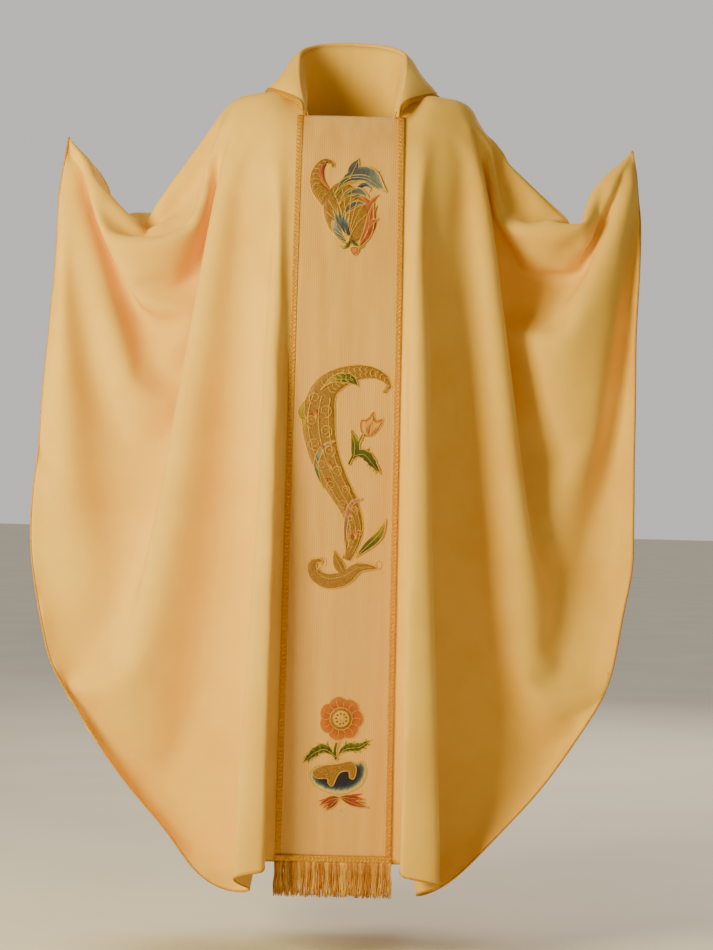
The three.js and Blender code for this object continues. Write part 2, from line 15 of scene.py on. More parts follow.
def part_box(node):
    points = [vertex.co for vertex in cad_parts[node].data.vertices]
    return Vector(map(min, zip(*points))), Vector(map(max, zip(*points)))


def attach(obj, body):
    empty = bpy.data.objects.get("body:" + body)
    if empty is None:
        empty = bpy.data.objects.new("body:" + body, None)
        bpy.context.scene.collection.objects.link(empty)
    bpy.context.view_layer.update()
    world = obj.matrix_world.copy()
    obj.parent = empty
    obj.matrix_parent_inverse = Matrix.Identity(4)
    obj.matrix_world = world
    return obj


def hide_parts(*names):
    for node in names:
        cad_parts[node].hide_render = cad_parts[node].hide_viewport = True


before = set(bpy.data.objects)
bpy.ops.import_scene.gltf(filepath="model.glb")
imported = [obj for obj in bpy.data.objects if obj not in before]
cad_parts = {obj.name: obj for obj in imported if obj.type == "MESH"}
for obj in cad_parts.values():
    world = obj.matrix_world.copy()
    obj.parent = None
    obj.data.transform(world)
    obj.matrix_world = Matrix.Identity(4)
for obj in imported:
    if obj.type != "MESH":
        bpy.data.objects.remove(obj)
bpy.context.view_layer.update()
scene = bpy.context.scene
random = np.random.default_rng(7)

MM = 0.001
FACES = {"front": -1, "back": 1}

# ---- driving dimensions ----
CREST_Z = 0.012
HEM_Z = -1.236
TIP = (0.466, -0.064)
BODY_DEPTH = 0.138
NECK_FRONT_Z = -0.036
BACK_PANEL_Z = -0.024
PANEL_TOP_HALF = 0.087
PANEL_FOOT_HALF = 0.093
PANEL_FOOT_Z = -1.231
BRAID_WIDTH = 0.010
CLOTH_THICKNESS = 0.0020
SATIN_LIFT = 0.0030  # from the middle of the cloth to the middle of the satin
SATIN_TOP = 0.0035
PIPING_RADIUS = 0.0017
THREAD_TUCK = 0.0022  # how far the fringe reaches up behind its heading
THREAD_RADIUS = 0.00118
THREAD_ROWS = ((0.0019, 1.0), (0.0019, 0.98), (0.0021, 0.95))  # spacing, share of the length


def mix(a, b, t):
    return a + (b - a) * t


def ease(low, high, value):
    t = np.clip((value - low) / (high - low), 0, 1)
    return t * t * (3 - 2 * t)


def smooth_curve(points, steps):
    """Points of a Catmull-Rom curve through the given ones, steps to each span."""
    points = np.array(points, float)
    ends = np.vstack([2 * points[0] - points[1], points, 2 * points[-1] - points[-2]])
    t = np.linspace(0, 1, steps, endpoint=False)[:, None]
    spans = []
    for a, b, c, d in zip(ends, ends[1:], ends[2:], ends[3:]):
        spans.append(b + 0.5 * ((c - a) * t + (2 * a - 5 * b + 4 * c - d) * t**2
                                + (3 * b - a - 3 * c + d) * t**3))
    return np.vstack([*spans, points[-1:]])


def lengths_along(points):
    steps = np.linalg.norm(np.diff(points, axis=0), axis=1)
    return np.concatenate([[0], np.cumsum(steps)])


def at_lengths(points, at):
    """The places of a line at those lengths along it."""
    along = lengths_along(points)
    return np.stack([np.interp(at, along, points[:, k]) for k in range(points.shape[1])], -1)


def evenly(points, step):
    """The same line with points at even distances of about step."""
    whole = lengths_along(points)[-1]
    count = max(2, int(round(whole / step)) + 1)
    return at_lengths(points, np.linspace(0, whole, count))


def unit(vectors):
    return vectors / np.maximum(np.linalg.norm(vectors, axis=-1, keepdims=True), 1e-12)


# ---- the side profile: down from the shoulder line over the chest and straight to the hem ----
def side_profile():
    """Forward distance and height of the middle of the cloth, in even steps of a millimetre."""
    start, end = np.array((0, CREST_Z)), np.array((0.105, -0.105))
    chest, foot = np.array((0.130, -0.275)), np.array((BODY_DEPTH, -1.45))
    slope = (chest[0] - end[0]) / (end[1] - chest[1])
    a, b = np.array((0.050, CREST_Z)), end + 0.06 * np.array((-slope, 1))
    t = np.linspace(0, 1, 60)[:, None]
    shoulder = (1 - t)**3 * start + 3 * (1 - t)**2 * t * a + 3 * (1 - t) * t * t * b + t**3 * end
    turn = np.array((BODY_DEPTH, chest[1] - (BODY_DEPTH - chest[0]) / slope))
    low = np.array((BODY_DEPTH, -0.430))
    t = np.linspace(0, 1, 30)[:, None]
    bend = (1 - t)**2 * chest + 2 * (1 - t) * t * turn + t * t * low
    return evenly(np.vstack([shoulder[:-1], bend, foot]), 1 * MM)


PROFILE = side_profile()
PROFILE_V = lengths_along(PROFILE)
PROFILE_NORMAL = unit(np.gradient(PROFILE, axis=0))[:, ::-1] * (-1, 1)


def v_at(z):
    """Length along the profile from the shoulder line down to a height."""
    return float(np.interp(-z, -PROFILE[:, 1], PROFILE_V))


def on_profile(v):
    """Forward distance and height of the middle of the cloth at lengths v."""
    return [np.interp(v, PROFILE_V, PROFILE[:, k]) for k in (0, 1)]


def on_panel(face, x, v, lift):
    """Points over the middle of the garment, lifted outwards from the middle of the cloth."""
    x, v, lift = np.broadcast_arrays(x, v, lift)
    reach, z = on_profile(v)
    out, up = (np.interp(v, PROFILE_V, PROFILE_NORMAL[:, k]) for k in (0, 1))
    return np.stack([x, face * (reach + np.abs(out) * lift), z + np.abs(up) * lift], -1)


HEM_V = v_at(HEM_Z)


# ---- materials: every one is a small node tree ----
class Finish:
    """Builds a node material round one Principled shader."""

    def __init__(self, name, roughness, metallic=0.0, sheen=0.0):
        self.material = bpy.data.materials.new(name)
        self.material.use_nodes = True
        self.tree = self.material.node_tree
        self.shader = self.tree.nodes["Principled BSDF"]
        self.shader.inputs["Roughness"].default_value = roughness
        self.shader.inputs["Metallic"].default_value = metallic
        self.shader.inputs["Sheen Weight"].default_value = sheen
        self.shader.inputs["Sheen Roughness"].default_value = 0.4
        self.place = self.node("ShaderNodeTexCoord").outputs["Object"]
        self.height = None

    def node(self, kind, **settings):
        made = self.tree.nodes.new(kind)
        for key, value in settings.items():
            if key in made.bl_rna.properties:
                setattr(made, key, value)
            else:
                made.inputs[key.replace("_", " ")].default_value = value
        return made

    def link(self, source, target):
        self.tree.links.new(source, target)

    def noise(self, scale, detail=3.0, stretch=(1, 1, 1), roughness=0.5):
        moved = self.node("ShaderNodeMapping", Scale=stretch)
        self.link(self.place, moved.inputs["Vector"])
        made = self.node("ShaderNodeTexNoise", Scale=scale, Detail=detail, Roughness=roughness)
        self.link(moved.outputs["Vector"], made.inputs["Vector"])
        return made.outputs["Fac"]

    def wave(self, pitch, direction, distortion=0.0, turn=(0, 0, 0)):
        """Ridges of that pitch in metres, across the X, Y, Z or DIAGONAL direction."""
        moved = self.node("ShaderNodeMapping", Rotation=turn)
        self.link(self.place, moved.inputs["Vector"])
        made = self.node("ShaderNodeTexWave", wave_type="BANDS", bands_direction=direction,
                         Scale=math.pi / (10 * pitch), Distortion=distortion, Detail=1.0)
        made.inputs["Detail Scale"].default_value = 2.0
        self.link(moved.outputs["Vector"], made.inputs["Vector"])
        return made.outputs["Fac"]

    def math(self, operation, a, b):
        made = self.node("ShaderNodeMath", operation=operation)
        for socket, value in zip(made.inputs, (a, b)):
            if isinstance(value, (int, float)):
                socket.default_value = value
            else:
                self.link(value, socket)
        return made.outputs[0]

    def ramp(self, factor, stops):
        made = self.node("ShaderNodeValToRGB")
        ramp = made.color_ramp
        while len(ramp.elements) < len(stops):
            ramp.elements.new(0.5)
        for element, (place, colour) in zip(ramp.elements, stops):
            element.position = place
            element.color = (*linear(colour), 1)
        self.link(factor, made.inputs["Fac"])
        return made.outputs["Color"]

    def around_zero(self, source, amount):
        return self.math("MULTIPLY", self.math("SUBTRACT", source, 0.5), amount)

    def blended(self, factor, a, b, blend_type="MIX"):
        made = self.node("ShaderNodeMix", data_type="RGBA", blend_type=blend_type)
        for socket, value in zip((made.inputs["Factor"], made.inputs[6], made.inputs[7]),
                                 (factor, a, b)):
            if isinstance(value, (int, float)):
                socket.default_value = value
            elif isinstance(value, tuple):
                socket.default_value = (*linear(value), 1)
            else:
                self.link(value, socket)
        return made.outputs[2]

    def bump(self, height, distance, strength=1.0):
        """Adds a bump of that depth in metres over the ones already there."""
        made = self.node("ShaderNodeBump", Strength=strength, Distance=distance)
        self.link(height, made.inputs["Height"])
        if self.height is not None:
            self.link(self.height, made.inputs["Normal"])
        self.height = made.outputs["Normal"]

    def done(self, colour):
        self.link(colour, self.shader.inputs["Base Color"])
        if self.height is not None:
            self.link(self.height, self.shader.inputs["Normal"])
        return self.material


def linear(colour):
    """An sRGB colour of three bytes as linear light."""
    shares = [c / 255 for c in colour]
    return [c / 12.92 if c <= 0.04045 else ((c + 0.055) / 1.055) ** 2.4 for c in shares]


def woven(name, light, dark, pitch, depth, roughness, sheen, patch=9.0):
    """Plain weave: fine threads both ways over slow patches of a darker tone."""
    finish = Finish(name, roughness, sheen=sheen)
    warp = finish.wave(pitch, "X", 0.4)
    weft = finish.wave(pitch * 1.1, "Z", 0.4)
    threads = finish.math("MULTIPLY", warp, weft)
    slub = finish.noise(900.0, 2.0, (1, 1, 0.12))
    patches = finish.noise(patch, 4.0)
    tone = finish.ramp(patches, [(0.25, dark), (0.75, light)])
    fibres = finish.math("MULTIPLY", slub, 0.16)
    colour = finish.blended(fibres, tone, dark)
    finish.bump(finish.math("ADD", threads, finish.math("MULTIPLY", slub, 0.7)), depth)
    finish.bump(finish.noise(28.0, 3.0), 0.0012, 0.35)
    return finish.done(colour)


def ribbed_satin():
    finish = Finish("panel_satin_weave", 0.5, sheen=0.03)
    ribs = finish.wave(0.0034, "X", 0.6)
    weft = finish.wave(0.0009, "Z", 0.5)
    streaks = finish.noise(60.0, 3.0, (1, 1, 0.05))
    tone = finish.ramp(streaks, [(0.3, (220, 166, 74)), (0.7, (232, 180, 88))])
    colour = finish.blended(finish.math("MULTIPLY", ribs, 0.12), tone, (196, 138, 50))
    finish.bump(finish.math("ADD", ribs, finish.math("MULTIPLY", weft, 0.5)), 0.00016)
    finish.bump(finish.noise(11.0, 2.0, (2.2, 2.2, 0.6)), 0.0022, 0.5)
    return finish.done(colour)


def metal_thread(name, light, dark, pitch, metallic, roughness, painted_highlight, turn=0.7):
    """Wrapped metal thread: bright strands with painted shade in the gaps between them, and painted
    glints where the glint noise is high.
    """
    finish = Finish(name, roughness, metallic=metallic)
    strands = finish.wave(pitch, "X", 1.2, (0, turn, 0))
    glint = finish.noise(420.0, 3.0)
    # Painted shade and light: the gaps between strands turn dark, and strands where the glint noise is
    # high take the painted highlight colour.
    shade = finish.math("ADD", finish.math("MULTIPLY", strands, 0.55),
                        finish.math("MULTIPLY", glint, 0.55))
    colour = finish.ramp(shade, [(0.18, dark), (0.55, light), (0.95, painted_highlight)])
    finish.bump(strands, 0.00018)
    finish.bump(glint, 0.00015, 0.6)
    return finish.done(colour)


def silk_thread(name, stops, turn=0.6, roughness=0.42):
    """Satin stitch: the colour runs along the piece's shade, and fine stitches lie over it."""
    finish = Finish(name, roughness, sheen=0.2)
    shade = finish.node("ShaderNodeAttribute", attribute_name="shade").outputs["Fac"]
    stitches = finish.wave(0.0011, "X", 2.0, (0, turn, 0))
    jitter = finish.noise(260.0, 3.0, (1, 1, 0.35))
    place = finish.math("ADD", shade, finish.around_zero(jitter, 0.45))
    colour = finish.ramp(place, stops)
    darker = finish.blended(0.42, colour, (40, 26, 20))
    mixed = finish.blended(finish.math("MULTIPLY", stitches, 0.45), colour, darker)
    finish.bump(stitches, 0.00022)
    finish.bump(jitter, 0.00015, 0.5)
    return finish.done(mixed)


def filigree():
    """Couched gold over a darker ground: rows of bright thread with small openings between."""
    finish = Finish("gold_filigree", 0.42, metallic=0.35)
    cells = finish.node("ShaderNodeTexVoronoi", feature="DISTANCE_TO_EDGE", Scale=520.0)
    finish.link(finish.place, cells.inputs["Vector"])
    net = finish.math("MULTIPLY", cells.outputs["Distance"], 3.2)
    glint = finish.noise(300.0, 3.0)
    shade = finish.math("ADD", net, finish.around_zero(glint, 0.7))
    colour = finish.ramp(shade, [(0.05, (184, 134, 44)), (0.4, (140, 96, 24)), (0.95, (98, 62, 12))])
    finish.bump(finish.math("SUBTRACT", 1.0, net), 0.0003, 0.7)
    finish.bump(glint, 0.0002, 0.6)
    return finish.done(colour)


def pearl():
    finish = Finish("pearl_bead_gloss", 0.22)
    finish.shader.inputs["Coat Weight"].default_value = 0.5
    swirl = finish.noise(500.0, 2.0)
    finish.bump(swirl, 0.00005)
    return finish.done(finish.ramp(swirl, [(0.3, (190, 160, 120)), (0.7, (226, 206, 170))]))


MATERIALS = {
    "cream_cloth": woven("cream_wool", (250, 206, 90), (240, 188, 70), 0.0011, 0.00016, 0.85, 0.05),
    "panel_satin": ribbed_satin(),
    "lining_cloth": woven("lining_cotton", (226, 196, 148), (206, 172, 122), 0.0009, 0.00012, 0.9, 0.1),
    # Each metal thread: the strand colour, the painted shade of its gaps, and its painted highlight.
    "gold_braid": metal_thread("gold_braid_thread", (214, 146, 4), (132, 74, 0), 0.0016, 0.25, 0.4,
                                (246, 196, 60)),
    # Fringe silk: the lowest stop paints strands in shade, the highest stop paints their highlight.
    "gold_fringe": silk_thread("gold_fringe_silk", [
        (0.08, (134, 70, 4)), (0.5, (204, 132, 20)), (0.95, (250, 204, 88))], 0.2, 0.34),
    "gold_cord": metal_thread("gold_couched_cord", (244, 192, 60), (160, 106, 20), 0.0012, 0.4, 0.36,
                               (255, 222, 120)),
    "gold_thread": filigree(),
    "blue_thread": silk_thread("blue_silk", [
        (0.10, (8, 12, 34)), (0.45, (24, 38, 70)), (0.72, (84, 104, 104)), (0.98, (222, 198, 120))]),
    "streak_thread": silk_thread("streak_silk", [(0.1, (96, 104, 40)), (0.9, (206, 188, 84))], 0.3),
    "coral_thread": silk_thread("coral_silk", [
        (0.05, (122, 34, 2)), (0.5, (174, 72, 6)), (0.95, (204, 118, 30))], 1.0),
    "orange_thread": silk_thread("orange_silk", [
        (0.10, (146, 62, 0)), (0.5, (190, 106, 0)), (0.9, (232, 184, 2))], -0.5),
    "green_thread": silk_thread("green_silk", [
        (0.10, (18, 34, 6)), (0.45, (74, 88, 10)), (0.95, (184, 164, 36))], 0.9),
    "mauve_thread": silk_thread("mauve_silk", [(0.2, (104, 50, 66)), (0.8, (168, 112, 118))]),
    "red_thread": silk_thread("red_silk", [(0.1, (120, 22, 4)), (0.9, (184, 66, 20))], 0.2),
    "pearl_bead": pearl(),
}


# ---- pieces ----
def new_mesh(name, points, faces):
    mesh = bpy.data.meshes.new(name)
    mesh.from_pydata(np.asarray(points, float).tolist(), [], [tuple(int(k) for k in f) for f in faces])
    return mesh


def placed(name, data):
    """A new object of the scene."""
    obj = bpy.data.objects.new(name, data)
    scene.collection.objects.link(obj)
    return obj


def add_piece(name, points, faces, material, body="vestment", replaced=(), shade=None):
    """A smooth mesh that rides on a body and stands for the CAD nodes named."""
    mesh = new_mesh(name, points, faces)
    mesh.polygons.foreach_set("use_smooth", np.ones(len(mesh.polygons), bool))
    if shade is not None:
        values = mesh.attributes.new("shade", "FLOAT", "POINT")
        values.data.foreach_set("value", np.asarray(shade, np.float32))
    mesh.materials.append(MATERIALS[material])
    mesh.update()
    obj = placed(name, mesh)
    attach(obj, body)
    if replaced:
        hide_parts(*replaced)
    return obj


def thicken(obj, thickness, offset=0.0):
    solid = obj.modifiers.new("thickness", "SOLIDIFY")
    solid.thickness = thickness
    solid.offset = offset
    solid.use_even_offset = False
    return obj


def grid_faces(rows, columns, wrap=False):
    """Quads of a grid whose points are listed row by row, joined round where wrap is true."""
    last = columns if wrap else columns - 1
    at = np.arange(rows * columns).reshape(rows, columns)
    quads = []
    for k in range(last):
        m = (k + 1) % columns
        quads.append(np.stack([at[:-1, k], at[:-1, m], at[1:, m], at[1:, k]], 1))
    return np.vstack(quads)


def frames_along(path, closed=False):
    """Two directions across a line at each of its points, turning as little as they can."""
    ahead = np.roll(path, -1, 0) - np.roll(path, 1, 0)
    if not closed:
        ahead[0], ahead[-1] = path[1] - path[0], path[-1] - path[-2]
    ahead = unit(ahead)
    side = np.zeros_like(path)
    first = np.cross(ahead[0], (0, 1, 0) if abs(ahead[0][1]) < 0.9 else (1, 0, 0))
    side[0] = first / np.linalg.norm(first)
    for k in range(1, len(path)):
        carried = side[k - 1] - ahead[k] * np.dot(side[k - 1], ahead[k])
        side[k] = carried / max(np.linalg.norm(carried), 1e-9)
    return side, np.cross(ahead, side)


def cord_mesh(path, radius, sides=6, pitch=None, closed=False, depth=0.16):
    """A cord along a line. With a pitch it is twisted from two strands, depth of the radius deep."""
    side, up = frames_along(path, closed)
    along = lengths_along(path)
    radius = np.broadcast_to(radius, len(path))
    angle = np.arange(sides) * 2 * math.pi / sides
    lobes = np.zeros((len(path), sides))
    if pitch:
        lobes = depth * np.cos(2 * (angle[None, :] - 2 * math.pi * along[:, None] / (2 * pitch)))
    swell = radius[:, None] * (1 + lobes)
    rings = (path[:, None, :] + swell[..., None] * (np.cos(angle)[None, :, None] * side[:, None, :]
                                                   + np.sin(angle)[None, :, None] * up[:, None, :]))
    points = rings.reshape(-1, 3)
    faces = [tuple(f) for f in grid_faces(len(path), sides, wrap=True)]
    last = (len(path) - 1) * sides
    if closed:
        for k in range(sides):
            m = (k + 1) % sides
            faces.append((last + k, last + m, m, k))
    else:
        faces.append(tuple(reversed(range(sides))))
        faces.append(tuple(range(last, last + sides)))
    return points, faces


def together(parts):
    """Several (points, faces) as one."""
    points, faces, start = [], [], 0
    for part_points, part_faces in parts:
        points.append(part_points)
        faces.extend(tuple(int(k) + start for k in f) for f in part_faces)
        start += len(part_points)
    return np.vstack(points), faces


# ---- the cloth's flat pattern ----
# Half width of the cut at each length v. The sheet is cut straight at HEM_V, and what the line
# holds past it only says where the edge is led.
TIP_U = 0.69
WIDEST_HALF = 0.760
PATTERN_EDGE = smooth_curve([
    (TIP_U, 0), (TIP_U + 0.022, 0.12), (0.735, 0.32), (0.747, 0.50), (WIDEST_HALF, 0.68), (0.732, 0.87),
    (0.677, 1.04), (0.592, 1.19), (0.5045, 1.30), (0.411, 1.355), (0.312, 1.377),
    (0.218, HEM_V + 0.0505), (0.1555, HEM_V + 0.028), (0.105, HEM_V), (0, HEM_V),
], 60)
PATTERN_EDGE_V = np.maximum.accumulate(PATTERN_EDGE[:, 1])
CELL = 0.020  # side of one cell of the simulated cloth
NECK_COLUMNS = round(0.08 / CELL)
NECK_FRONT_ROWS = round(0.10 / CELL)
NECK_BACK_ROWS = round(0.08 / CELL)
HELD_HALF = 0.101  # the strip under the panels is held, and the pleats begin past PLEAT_ROOM
PLEAT_ROOM = 0.1
NECK_EDGE_U, NECK_EDGE_V = 0.073, 0.068  # the sides and the back of the neck opening


def in_pattern(u, v):
    edge = np.interp(np.abs(v), PATTERN_EDGE_V, PATTERN_EDGE[:, 0])
    return (np.abs(u) < edge) & (np.abs(v) < HEM_V)


def cut_pattern():
    """Vertices (u, v), faces, a flag on the vertices of the outer edge, and each vertex's cell."""
    half_columns = int(0.85 / CELL)
    half_rows = int(HEM_V / CELL) + 2
    i, j = np.meshgrid(np.arange(-half_columns, half_columns + 1),
                       np.arange(-half_rows, half_rows + 1), indexing="ij")
    u, v = i * CELL, j * CELL
    inside = in_pattern(u, v)
    moved = np.zeros_like(inside)
    new_u, new_v = u.copy(), v.copy()
    for di, dj in ((1, 0), (0, 1)):
        near = inside[:inside.shape[0] - di, :inside.shape[1] - dj]
        for a, b in np.argwhere(near != inside[di:, dj:]):
            start = np.array((u[a, b], v[a, b]))
            step = np.array((di, dj)) * CELL
            low, high = 0.0, 1.0
            for _ in range(16):
                middle = (low + high) / 2
                same = in_pattern(*(start + middle * step)) == near[a, b]
                low, high = (middle, high) if same else (low, middle)
            cell = (a, b) if low < 0.5 else (a + di, b + dj)
            if not moved[cell]:
                moved[cell] = True
                new_u[cell], new_v[cell] = start + low * step
    usable = inside | moved
    neck = (np.abs(i) < NECK_COLUMNS) & (j < NECK_FRONT_ROWS) & (j > -NECK_BACK_ROWS)
    usable &= ~neck
    faces = []
    for a in range(i.shape[0] - 1):
        for b in range(i.shape[1] - 1):
            if -NECK_COLUMNS <= i[a, b] < NECK_COLUMNS and -NECK_BACK_ROWS <= j[a, b] < NECK_FRONT_ROWS:
                continue
            corners = [c for c in ((a, b), (a + 1, b), (a + 1, b + 1), (a, b + 1)) if usable[c]]
            if len(corners) >= 3 and any(inside[c] and not moved[c] for c in corners):
                faces.append(corners)
    used = np.zeros_like(usable)
    for face in faces:
        for corner in face:
            used[corner] = True
    number = np.cumsum(used.ravel()).reshape(used.shape) - 1
    faces = [[int(number[c]) for c in face] for face in faces]
    by_neck = (j >= -NECK_BACK_ROWS) & (j <= NECK_FRONT_ROWS)
    new_u[by_neck & (np.abs(i) == NECK_COLUMNS)] = NECK_EDGE_U
    new_u[by_neck & (i == -NECK_COLUMNS)] *= -1
    new_v[(np.abs(i) <= NECK_COLUMNS) & (j == -NECK_BACK_ROWS)] = -NECK_EDGE_V
    return np.stack([new_u[used], new_v[used]], 1), faces, moved[used], np.stack([i[used], j[used]], 1)


# ---- draping it: over an unseen torso, with the panel upright and the tips lifted ----
PLEATS = {1: (0.130, 0.105, 0.048), -1: (0.122, 0.095, 0.032)}  # side: from, width, depth
# The seen outline of both sides from a tip down and round to the panel.
SIDE_OUTLINES = {
    -1: smooth_curve([
        TIP, (0.476, -0.28), (0.493, -0.50), (0.506, -0.73), (0.484, -0.87), (0.432, -0.977),
        (0.351, -1.10), (0.267, -1.19), (0.218, -1.25), (0.185, -1.28), (0.15, -1.285), (0.12, -1.26),
    ], 60),
    1: smooth_curve([
        TIP, (0.472, -0.28), (0.476, -0.45), (0.476, -0.60), (0.474, -0.74), (0.457, -0.86),
        (0.429, -0.956), (0.351, -1.09), (0.267, -1.185), (0.218, -1.24), (0.185, -1.27), (0.15, -1.285),
        (0.12, -1.26),
    ], 60),
}
HEM_EVENED, HEM_REACH = 0.075, 0.10  # the hem's ripples are evened over the first, moving the second
EDGE_EASE = 0.965
EDGE_HELD_TO = 1.3
FRONT_HOLD, BACK_HOLD = 0.35, 0.2
LIFT_FRAMES, DRAPE_FRAMES = 45, 90
DEPTH_FREE, DEPTH_FULL = 0.140, 0.214  # folds deeper than the first are squeezed to stay in the second
PLEAT_STOP, PLEAT_STOP_FOOT = 0.101, 0.010  # pleats lean no nearer the panel than this, more at the hem

TORSO_SIDES = 48
TORSO_SQUARENESS = 2.4  # 2 is an ellipse
# Height, half width and half depth of the torso's sections.
TORSO = [
    (0.05, 0.05, 0.05), (0.004, 0.062, 0.052), (0.002, 0.13, 0.05), (-0.003, 0.175, 0.058),
    (-0.015, 0.195, 0.070), (-0.045, 0.207, 0.088), (-0.12, 0.206, 0.110), (-0.22, 0.190, 0.122),
    (-0.40, 0.165, 0.112), (-0.60, 0.16, 0.108), (-0.85, 0.165, 0.105), (-1.2, 0.13, 0.08),
]


def torso():
    """The unseen body that the cloth hangs on."""
    around = np.arange(TORSO_SIDES) * 2 * math.pi / TORSO_SIDES
    c, s = (np.sign(wave) * np.abs(wave) ** (2 / TORSO_SQUARENESS)
            for wave in (np.cos(around), np.sin(around)))
    rings = [np.stack([a * c, b * s, np.full(TORSO_SIDES, z)], 1) for z, a, b in TORSO]
    faces = list(grid_faces(len(TORSO), TORSO_SIDES, wrap=True)[:, ::-1])
    last = TORSO_SIDES * (len(TORSO) - 1)
    faces.append(tuple(range(TORSO_SIDES)))
    faces.append(tuple(reversed(range(last, last + TORSO_SIDES))))
    obj = placed("torso", new_mesh("torso", np.vstack(rings), faces))
    obj.modifiers.new("Collision", "COLLISION")
    obj.collision.thickness_outer = 0.004
    obj.collision.thickness_inner = 0.03
    obj.collision.cloth_friction = 2.0
    return obj


def flat_places(pattern):
    """The pattern bent over the shoulder line only, which stretches nothing."""
    down = np.abs(pattern[:, 1])
    reach, z = on_profile(down)
    return np.stack([pattern[:, 0], np.where(pattern[:, 1] >= 0, -reach, reach), z], 1)


def pleated(pattern, flat):
    """The same with a pleat standing out beside the panel on both sides."""
    places = flat.copy()
    line = np.linspace(PLEAT_ROOM, 1.0, 1500)
    u, down = np.abs(pattern[:, 0]), np.abs(pattern[:, 1])
    for side, (start, width, depth) in PLEATS.items():
        for row in np.unique(np.round(down, 5)):
            depth_here = depth * np.clip((row - 0.12) / 0.7, 0, 1) ** 0.8
            stand = depth_here * np.sin(math.pi * np.clip((line - start) / width, 0, 1)) ** 2
            along = lengths_along(np.stack([line, stand], 1)) + PLEAT_ROOM
            k = (pattern[:, 0] * side > PLEAT_ROOM) & (np.abs(down - row) < 1e-5)
            places[k, 0] = side * np.interp(u[k], along, line)
            places[k, 1] += np.sign(flat[k, 1]) * np.interp(u[k], along, stand)
    return places


def drape(pattern, faces, on_edge):
    """Cloth simulation from the pleated sheet to the hanging one."""
    u, down, side = np.abs(pattern[:, 0]), np.abs(pattern[:, 1]), np.sign(pattern[:, 0])
    front = pattern[:, 1] >= 0
    flat = flat_places(pattern)
    start = pleated(pattern, flat)
    obj = placed("drape", new_mesh("drape", start, faces))

    tip = np.hypot(u - TIP_U, down) < 1.3 * CELL
    held = tip | (u < HELD_HALF)
    edge = np.nonzero(on_edge & (down > 0.03) & (u > 0.2) & ~held)[0]
    gaps = ((PATTERN_EDGE[None] - np.stack([u[edge], down[edge]], 1)[:, None]) ** 2).sum(2)
    along = EDGE_EASE * lengths_along(PATTERN_EDGE)[gaps.argmin(1)]
    edge, along = edge[along < EDGE_HELD_TO], along[along < EDGE_HELD_TO]

    pins = obj.vertex_groups.new(name="pins")
    pins.add(np.nonzero(held)[0].tolist(), 1.0, "REPLACE")
    pins.add(edge[front[edge]].tolist(), FRONT_HOLD, "REPLACE")
    pins.add(edge[~front[edge]].tolist(), BACK_HOLD, "REPLACE")

    lifted = start.copy()
    inward = TIP_U - u[tip]
    lifted[tip] = np.stack([side[tip] * (TIP[0] - 0.35 * inward),
                            -np.sign(pattern[tip, 1]) * 0.15 * down[tip],
                            TIP[1] - 0.8 * inward - 0.9 * down[tip]], 1)
    x, z = np.zeros(len(edge)), np.zeros(len(edge))
    for hand, outline in SIDE_OUTLINES.items():
        own = side[edge] == hand
        x[own], z[own] = at_lengths(outline, along[own]).T
    stand = 0.004 + 0.05 * np.clip(along / 0.6, 0, 1) + 0.06 * np.clip((along - 0.7) / 0.5, 0, 1)
    lifted[edge] = np.stack([side[edge] * (x - np.where(front[edge], 0, 0.012)),
                             np.where(front[edge], -stand, stand), z], 1)

    obj.shape_key_add(name="start")
    rest = obj.shape_key_add(name="rest")
    rest.data.foreach_set("co", flat.astype(np.float32).ravel())
    rest.value = 0
    lift = obj.shape_key_add(name="lift")
    lift.data.foreach_set("co", lifted.astype(np.float32).ravel())
    for value, at in ((0, 1), (1, LIFT_FRAMES)):
        lift.value = value
        lift.keyframe_insert("value", frame=at)

    body = torso()
    cloth = obj.modifiers.new("Cloth", "CLOTH")
    settings = cloth.settings
    settings.rest_shape_key = rest
    settings.quality = 5
    settings.mass = 0.3
    settings.tension_stiffness = settings.compression_stiffness = 30
    settings.shear_stiffness = 2.5
    settings.bending_stiffness = 1.2
    settings.tension_damping = settings.compression_damping = settings.shear_damping = 5
    settings.bending_damping = 0.5
    settings.air_damping = 1.5
    settings.vertex_group_mass = "pins"
    settings.pin_stiffness = 1
    collide = cloth.collision_settings
    collide.distance_min = 0.004
    collide.collision_quality = 2
    collide.use_self_collision = True
    collide.self_distance_min = 0.006
    collide.self_friction = 1
    cloth.point_cache.frame_start, cloth.point_cache.frame_end = 1, DRAPE_FRAMES + 5
    scene.frame_start, scene.frame_end = 1, DRAPE_FRAMES + 5
    for step in range(1, DRAPE_FRAMES + 1):
        scene.frame_set(step)

    evaluated = obj.evaluated_get(bpy.context.evaluated_depsgraph_get())
    hung = np.zeros(len(pattern) * 3)
    evaluated.to_mesh().vertices.foreach_get("co", hung)
    evaluated.to_mesh_clear()
    scene.frame_set(1)
    bpy.data.objects.remove(obj)
    bpy.data.objects.remove(body)
    hung = hung.reshape(-1, 3)
    depth = np.abs(hung[:, 1])
    room = DEPTH_FULL - DEPTH_FREE
    squeezed = DEPTH_FREE + room * np.tanh((depth - DEPTH_FREE) / room)
    hung[:, 1] = np.sign(hung[:, 1]) * np.where(depth > DEPTH_FREE, squeezed, depth)
    beside_panel = PLEAT_STOP + PLEAT_STOP_FOOT * ease(0.3, 1.2, down)
    over = (u > HELD_HALF) & (np.abs(hung[:, 0]) < beside_panel) & (down > 0.12)
    overhang = beside_panel - np.abs(hung[:, 0])
    hung[over, 0] = side[over] * (beside_panel - 0.12 * overhang)[over]
    return hung


